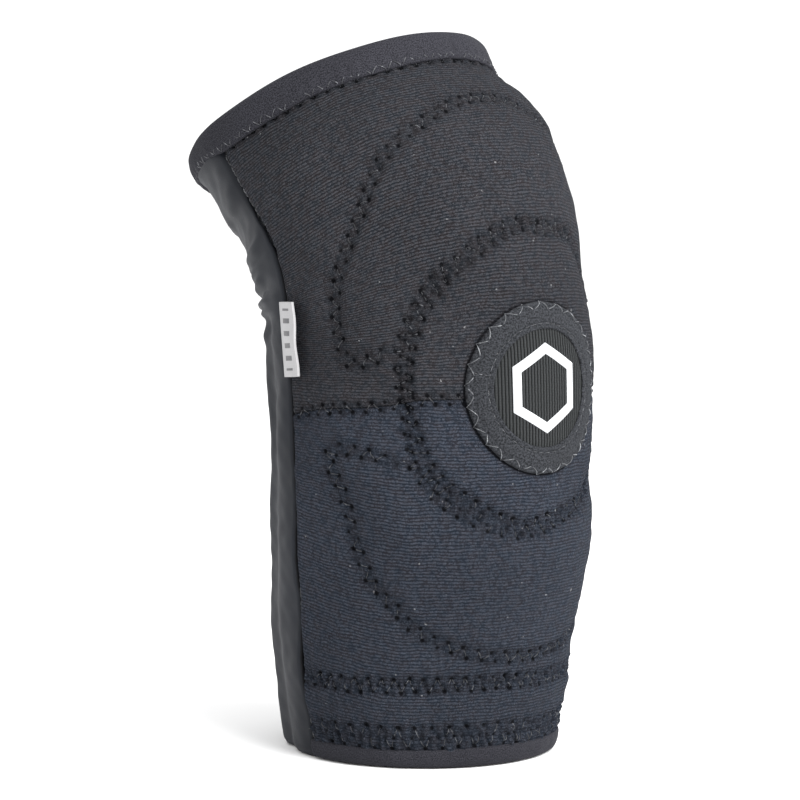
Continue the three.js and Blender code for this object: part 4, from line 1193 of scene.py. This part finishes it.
# ------------------------------------------------------------------ tapes over the side seams, inside
def seam_tape(name, side, nodes):
    S, W = np.meshgrid(np.linspace(14.3, 208.4, 176), np.linspace(-1, 1, 17), indexing="ij")
    P = seam_at(S) + 1.0 + 4.6 * W
    bulge = 0.35 * (1 - W**2) + 0.18 * np.cos(W * math.pi * 2) * (np.sin(S * 2.1) * 0.25 + 1)
    base = np.where(P > seam_at(S), -back_relief(S, P) + 1.0, -sample(_D, S, np.minimum(P, 100)) + SKIN_T)
    k = np.ones(9) / 9
    base = np.maximum(1.9, np.minimum(4.2, np.max(base, axis=1, keepdims=True) * 0 + np.apply_along_axis(lambda c: np.convolve(np.pad(c, 4, mode="edge"), k, "valid"), 0, base).max(axis=1, keepdims=True)))
    o = base + 0.25 + 0.8 - 0.0 * bulge
    uv = np.stack([np.radians(P) * 5.0, S / 10], -1)
    ob = shell(name, at(S, side * P, base + 0.25 + 0 * P), at(S, side * P, o + bulge), uv)
    finish_piece(ob, M_TAPE, nodes)


seam_tape("inner_tape_left", 1, ["seam_tape_left_lower", "seam_tape_left_upper"])
seam_tape("inner_tape_right", -1, ["seam_tape_right_lower", "seam_tape_right_upper"])

# ------------------------------------------------------------------ badge
def badge_place(r, psi):
    q = np.radians(psi)
    return np.interp(BADGE_MID + r * np.cos(q), _fa, _fs), np.degrees(r * np.sin(q) / BADGE_ARC)


def badge_xy(x, y):
    return np.interp(BADGE_MID + y, _fa, _fs), np.degrees(x / BADGE_ARC)


def above(s, p, h):
    """Offset for a point h mm above the woven cloth, without its fine relief."""
    return -bed(s, p) - h


_rr = [18.6, 18.9, 19.4, 20.0, 20.35, 20.9, 22.0, 23.4, 24.4, 25.0, 25.6, 26.3, 26.8, 27.05]
_hh = [0.75, 1.12, 1.22, 1.12, 0.92, 1.14, 1.3, 1.32, 1.18, 0.98, 1.08, 1.0, 0.62, 0.15]
ring_top = monotone(_rr, _hh)
ring_bot = monotone([18.6, 19.9, 20.6, 27.05], [0.72, 0.7, 0.1, 0.02])
r = np.linspace(18.6, 27.05, int(44 * FINE))
psi = np.linspace(0, 360, int(300 * FINE), endpoint=False)
R, Q = np.meshgrid(r, psi, indexing="ij")
s, p = badge_place(R + 0.18 * np.sin(np.radians(Q * 5 + 20)) * (R - 18.6) / 8.4, Q)
ruck = 0.5 + 0.5 * np.cos(2 * math.pi * np.radians(Q) * 26 / 3.5)
h = ring_top(R) - 0.22 * np.exp(-(((R - 25.2) / 0.8) ** 2)) * ruck + 0.10 * np.exp(-(((R - 26.4) / 0.6) ** 2)) * (1 - ruck)
h = h - 0.12 * np.exp(-(((R - 20.35) / 0.5) ** 2)) * (0.5 + 0.5 * np.cos(2 * math.pi * np.radians(Q) * 20.35 / 2.6))
join = ((Q - 88 + 180) % 360 - 180) * np.radians(R)
h = h - 0.28 * np.exp(-((join / 0.45) ** 2)) * step((R - 20.5) / 1) * step((26.4 - R) / 1)
h = h + waves(s, p, 0.05, 7, 41)
outer = at(s, p, above(s, p, h))
inner = at(s, p, above(s, p, ring_bot(R)))
m, n = R.shape
k = m * n
j = np.arange(n)
q = [grid_quads(m, n, wrap=True), grid_quads(m, n, k, flip=True, wrap=True)]
q.append(np.stack([j, (j + 1) % n, k + (j + 1) % n, k + j], 1)[:, ::-1])
e = (m - 1) * n
q.append(np.stack([e + j, e + (j + 1) % n, k + e + (j + 1) % n, k + e + j], 1))
uv = np.stack([R * np.sin(np.radians(Q)), R * np.cos(np.radians(Q))], -1).reshape(-1, 2) / 10
badge_ring = outward(mesh("badge_ring_patch", np.concatenate([outer.reshape(-1, 3), inner.reshape(-1, 3)]), np.concatenate(q), np.concatenate([uv, uv])))
finish_piece(badge_ring, M_BADGE, ["badge_ring"])

x = np.linspace(-1, 1, int(272 * FINE))
y = np.linspace(-1, 1, int(60 * FINE))
Y, X = np.meshgrid(y, x, indexing="ij")
XX = X * 19.35
YY = Y * np.sqrt(np.maximum(19.4**2 - XX**2, 0.3))
s, p = badge_xy(XX, YY)
h = 0.36 + 0.3 * np.abs(np.sin(math.pi * XX / 1.15)) * np.clip((19.2 - np.hypot(XX, YY)) / 1.5, 0, 1) + 0.05 * np.sin(YY * 2.2)
uv = np.stack([XX, YY], -1) / 10
disc = shell("badge_ribbed_disc", at(s, p, above(s, p, h)), at(s, p, above(s, p, 0.05)), uv)
finish_piece(disc, M_RIB, ["badge_disc"])

# six-sided ring printed on the disc
MARK_R, MARK_W = 14.3, 3.5
q = np.linspace(0, 360, 144, endpoint=False)
hexa = math.cos(math.pi / 6) / np.cos(np.radians(q % 60 - 30))
rows = []
for rr, hh in ((MARK_R - MARK_W, 0.60), (MARK_R - MARK_W + 0.05, 0.80), (MARK_R - MARK_W * 0.75, 0.82), (MARK_R - MARK_W * 0.5, 0.82), (MARK_R - MARK_W * 0.25, 0.82), (MARK_R - 0.05, 0.80), (MARK_R, 0.60)):
    s, p = badge_place(rr * hexa, q)
    rows.append(at(s, p, above(s, p, hh)))
for rr in (MARK_R - 0.1, MARK_R - MARK_W + 0.1):
    s, p = badge_place(rr * hexa, q)
    rows.append(at(s, p, above(s, p, 0.45)))
rows = np.array(rows)
m, n = rows.shape[:2]
qd = grid_quads(m, n, wrap=True)
j = np.arange(n)
last = np.stack([(m - 1) * n + j, (m - 1) * n + (j + 1) % n, (j + 1) % n, j], 1)
rad_ = np.array([MARK_R - MARK_W, MARK_R - MARK_W, MARK_R - MARK_W * 0.75, MARK_R - MARK_W * 0.5, MARK_R - MARK_W * 0.25, MARK_R, MARK_R, MARK_R, MARK_R - MARK_W])
uv = np.stack([rad_[:, None] * hexa * np.sin(np.radians(q)), rad_[:, None] * hexa * np.cos(np.radians(q))], -1) / 10
mark = outward(mesh("badge_hex_print", rows, np.concatenate([qd, last]), uv))
finish_piece(mark, M_PRINT, ["badge_emblem"])


# ------------------------------------------------------------------ stitching
def stitches(name, pts_sp, height=None, radius=0.12, sink=-0.75, arch=0.1, lit=False, breaks=(), material=None):
    """One thread that dips through each needle point; pts_sp are (s, phi)."""
    runs = []
    pts_sp = np.asarray(pts_sp)
    t = np.linspace(0, 1, 6)
    rs = np.random.default_rng(len(pts_sp))
    draw = rs.uniform(0, 1, len(pts_sp))
    for i in range(len(pts_sp) - 1):
        a, b = pts_sp[i], pts_sp[i + 1]
        if i in breaks:
            continue
        top = arch + 0.12 * draw[i] if lit else arch + (0.14 * draw[i] if draw[i] > 0.42 else -0.34)
        s = a[0] + (b[0] - a[0]) * t
        p = a[1] + (b[1] - a[1]) * t
        lift = sink + (top - sink) * np.sin(math.pi * t) ** 0.6
        base = skin(s, p) if height is None else height(s, p)
        runs.append(at(s, p, -(base + lift)))
    ob = thread(name, runs, radius)
    finish_piece(ob, material or (M_THREAD_LIT if lit else M_THREAD))
    return ob


for key in ("cap", "upper", "lower", "mid_l", "mid_r", "forearm", "hem_low", "hem_top"):
    line = ROWS[key][0]
    pts = NEEDLES[key]
    s, p = line.at(pts[:, 0], pts[:, 1])
    sp = np.stack([s, p], 1)
    names = {"cap": "stitching_cap", "upper": "stitching_upper_arch", "lower": "stitching_forearm_arch", "mid_l": "stitching_mid_seam_left", "mid_r": "stitching_mid_seam_right", "forearm": "stitching_forearm_row", "hem_low": "stitching_hem_forearm", "hem_top": "stitching_hem_upper_arm"}
    if key == "hem_top":
        def hgt(s, p):
            edge = HEM_S(p)
            return np.where(s > edge, 0.75 - tuck(s, p), skin(s, p) + 0.1)
        stitches(names[key], sp, hgt, 0.13, -0.45, 0.12, lit=True, material=M_THREAD_MID)
    elif key == "hem_low":
        def hgt2(s, p):
            return np.where(s < 5.9, 0.35 + 0 * s, skin(s, p))
        stitches(names[key], sp, hgt2, 0.12, -0.7, 0.08)
    else:
        stitches(names[key], sp)

# zigzag round the badge, and the plain row at its inner edge
n = 2 * int(math.pi * 26.2 / 3.2)
q = np.linspace(0, 360, n, endpoint=False) + rng.normal(0, 0.5, n)
rr = np.where(np.arange(n) % 2 == 0, 27.35, 24.9) + rng.normal(0, 0.12, n)
s, p = badge_place(rr, q)
sp = np.stack([s, p], 1)


def badge_height(s, p):
    y = np.interp(s, _fs, _fa) - BADGE_MID
    r = np.hypot(np.radians(p) * BADGE_ARC, y)
    base = bed(s, p)
    return base + np.where(r > 27.05, 0.0, ring_top(np.clip(r, 18.6, 27.05)))


stitches("stitching_badge_edge", np.vstack([sp, sp[:1]]), badge_height, 0.14, -0.45, 0.14, lit=True)
n = int(2 * math.pi * 20.35 / 2.6)
runs = []
for i in range(n):
    qq = np.linspace(i * 360 / n + 1.2, (i + 1) * 360 / n - 1.2, 6)
    s, p = badge_place(np.full(6, 20.35), qq)
    runs.append(at(s, p, -(badge_height(s, p) + (-0.1 + 0.22 * np.sin(np.linspace(0, math.pi, 6))))))
for qq, r0, r1 in ((77.0, 20.8, 25.6),):
    for i in range(3):
        t = np.linspace(r0 + (r1 - r0) * i / 3 + 0.1, r0 + (r1 - r0) * (i + 1) / 3 - 0.1, 6)
        s, p = badge_place(t, np.full(6, qq))
        runs.append(at(s, p, -(badge_height(s, p) - 0.25 + 0.25 * np.sin(np.linspace(0, math.pi, 6)))))
inner_row = thread("stitching_badge_inner", runs, 0.12)
finish_piece(inner_row, M_THREAD)


# ------------------------------------------------------------------ side seams
def seam_thread(name, side):
    s = np.arange(1.5, HEM_S(95.0) + 0.5, 2.3)
    runs = []
    for i in range(len(s) - 1):
        t = np.linspace(0, 1, 6)
        ss = s[i] + (s[i + 1] - s[i]) * t
        z = 0.45 * (1 if i % 2 else -1)
        pp = seam_at(ss) + z * (1 - 2 * t)
        lift = -1.75 + 0.35 * np.sin(math.pi * t)
        runs.append(at(ss, side * pp, -lift))
    ob = thread(name, runs, 0.24)
    finish_piece(ob, M_THREAD)


seam_thread("stitching_seam_left", 1)
seam_thread("stitching_seam_right", -1)

# ------------------------------------------------------------------ folded label in the side seam
lo, hi = at(124.0, 93.9, -0.95), at(148.5, 94.1, -1.3)
mid_l, along = (lo + hi) / 2, (hi - lo) / np.linalg.norm(hi - lo)
qrot = Vector((0, 0, 1)).rotation_difference(Vector(along))
LEAN = math.radians(14)
out = np.array(qrot @ Vector((-math.sin(LEAN), -math.cos(LEAN), 0)))
nor = np.array(qrot @ Vector((-math.cos(LEAN), math.sin(LEAN), 0)))
W_L, H_L, T_L = 9.4, 24.4, 0.26
prof = []
for u in np.linspace(-0.7, W_L - 0.5, 22):
    prof.append((u, 0.42))
for a in np.linspace(90, -90, 9)[1:-1]:
    prof.append((W_L - 0.45 + 0.42 * math.cos(math.radians(a)), 0.42 * math.sin(math.radians(a))))
for u in np.linspace(W_L - 0.5, -0.7, 22):
    prof.append((u, -0.42))
prof = np.array(prof)
v = np.linspace(-H_L / 2, H_L / 2, 60)
U, V = np.meshgrid(prof[:, 0], v, indexing="ij")
N = np.repeat(prof[:, 1][:, None], len(v), 1)
tt = np.gradient(prof, axis=0)
nn = np.stack([tt[:, 1], -tt[:, 0]], 1)
nn /= np.linalg.norm(nn, axis=1)[:, None]
bow = lambda u, v: 0.55 * np.sin(u / W_L * 2.2) * (0.6 + 0.4 * np.cos(v / H_L * 2.6)) + 0.22 * np.sin(v * 0.42 + u * 0.25) * np.clip(u / W_L, 0, 1) - 0.0 * u
ends = 1 - 0.02 * np.clip(np.abs(V) / H_L * 2, 0, 1) ** 6


def label_grid(inset):
    u = U - nn[:, 0][:, None] * inset
    w = N - nn[:, 1][:, None] * inset
    uu = np.clip(u, 0, W_L)
    vv = V * ends + 0.25 * (uu / W_L) * np.sign(V) * -0.6
    return mid_l + u[..., None] * out + (w + bow(uu, V))[..., None] * nor + vv[..., None] * along


run = np.concatenate([[0], np.cumsum(np.linalg.norm(np.diff(prof, axis=0), axis=1))])
xx = np.minimum(run, run[-1] - run)
uv = np.stack([np.repeat(xx[:, None] / 10, len(v), 1), V / 10], -1)
label = shell("sewn_side_label", label_grid(-T_L / 2), label_grid(T_L / 2), uv)
finish_piece(label, M_LABEL, ["side_label_tab"], body="side_label")

# ------------------------------------------------------------------ floor and light
floor_mesh = bpy.data.meshes.new("studio_floor")
floor_mesh.from_pydata([(-6, -6, -0.0004), (6, -6, -0.0004), (6, 6, -0.0004), (-6, 6, -0.0004)], [], [(0, 1, 2, 3)])
floor = bpy.data.objects.new("studio_floor", floor_mesh)
bpy.context.scene.collection.objects.link(floor)
fm = Nodes("pale_floor")
fgr = fm.noise(fm.obj(), 3.0, 2.0)
floor_mesh.materials.append(fm.set(Base_Color=fm.mix(fgr, rgb(0.94, 0.94, 0.94), rgb(0.96, 0.96, 0.96)), Roughness=0.9, Specular_IOR_Level=0.1))

world = bpy.data.worlds.new("studio")
bpy.context.scene.world = world
world.use_nodes = True
bg = world.node_tree.nodes["Background"]
bg.inputs["Color"].default_value = (1, 1, 1, 1)
bg.inputs["Strength"].default_value = 1.2


def area_light(name, place, size, power, aim=(0, 0, 0.12), color=(1, 1, 1)):
    ld = bpy.data.lights.new(name, "AREA")
    ld.shape, ld.size, ld.size_y, ld.energy, ld.color = "RECTANGLE", size[0], size[1], power, color
    lo_ = bpy.data.objects.new(name, ld)
    bpy.context.scene.collection.objects.link(lo_)
    lo_.location = place
    lo_.rotation_euler = (Vector(aim) - Vector(place)).to_track_quat("-Z", "Y").to_euler()
    lo_.visible_camera = False
    return lo_


def around(az, el, d):
    a, e = math.radians(az), math.radians(el)
    return (math.sin(a) * math.cos(e) * d, -math.cos(a) * math.cos(e) * d, 0.12 + math.sin(e) * d)


area_light("key", around(4, 38, 1.6), (1.2, 1.2), 46)
area_light("top", (0.05, -0.2, 1.7), (1.4, 1.4), 4)
bpy.context.scene.view_settings.view_transform = "Standard"
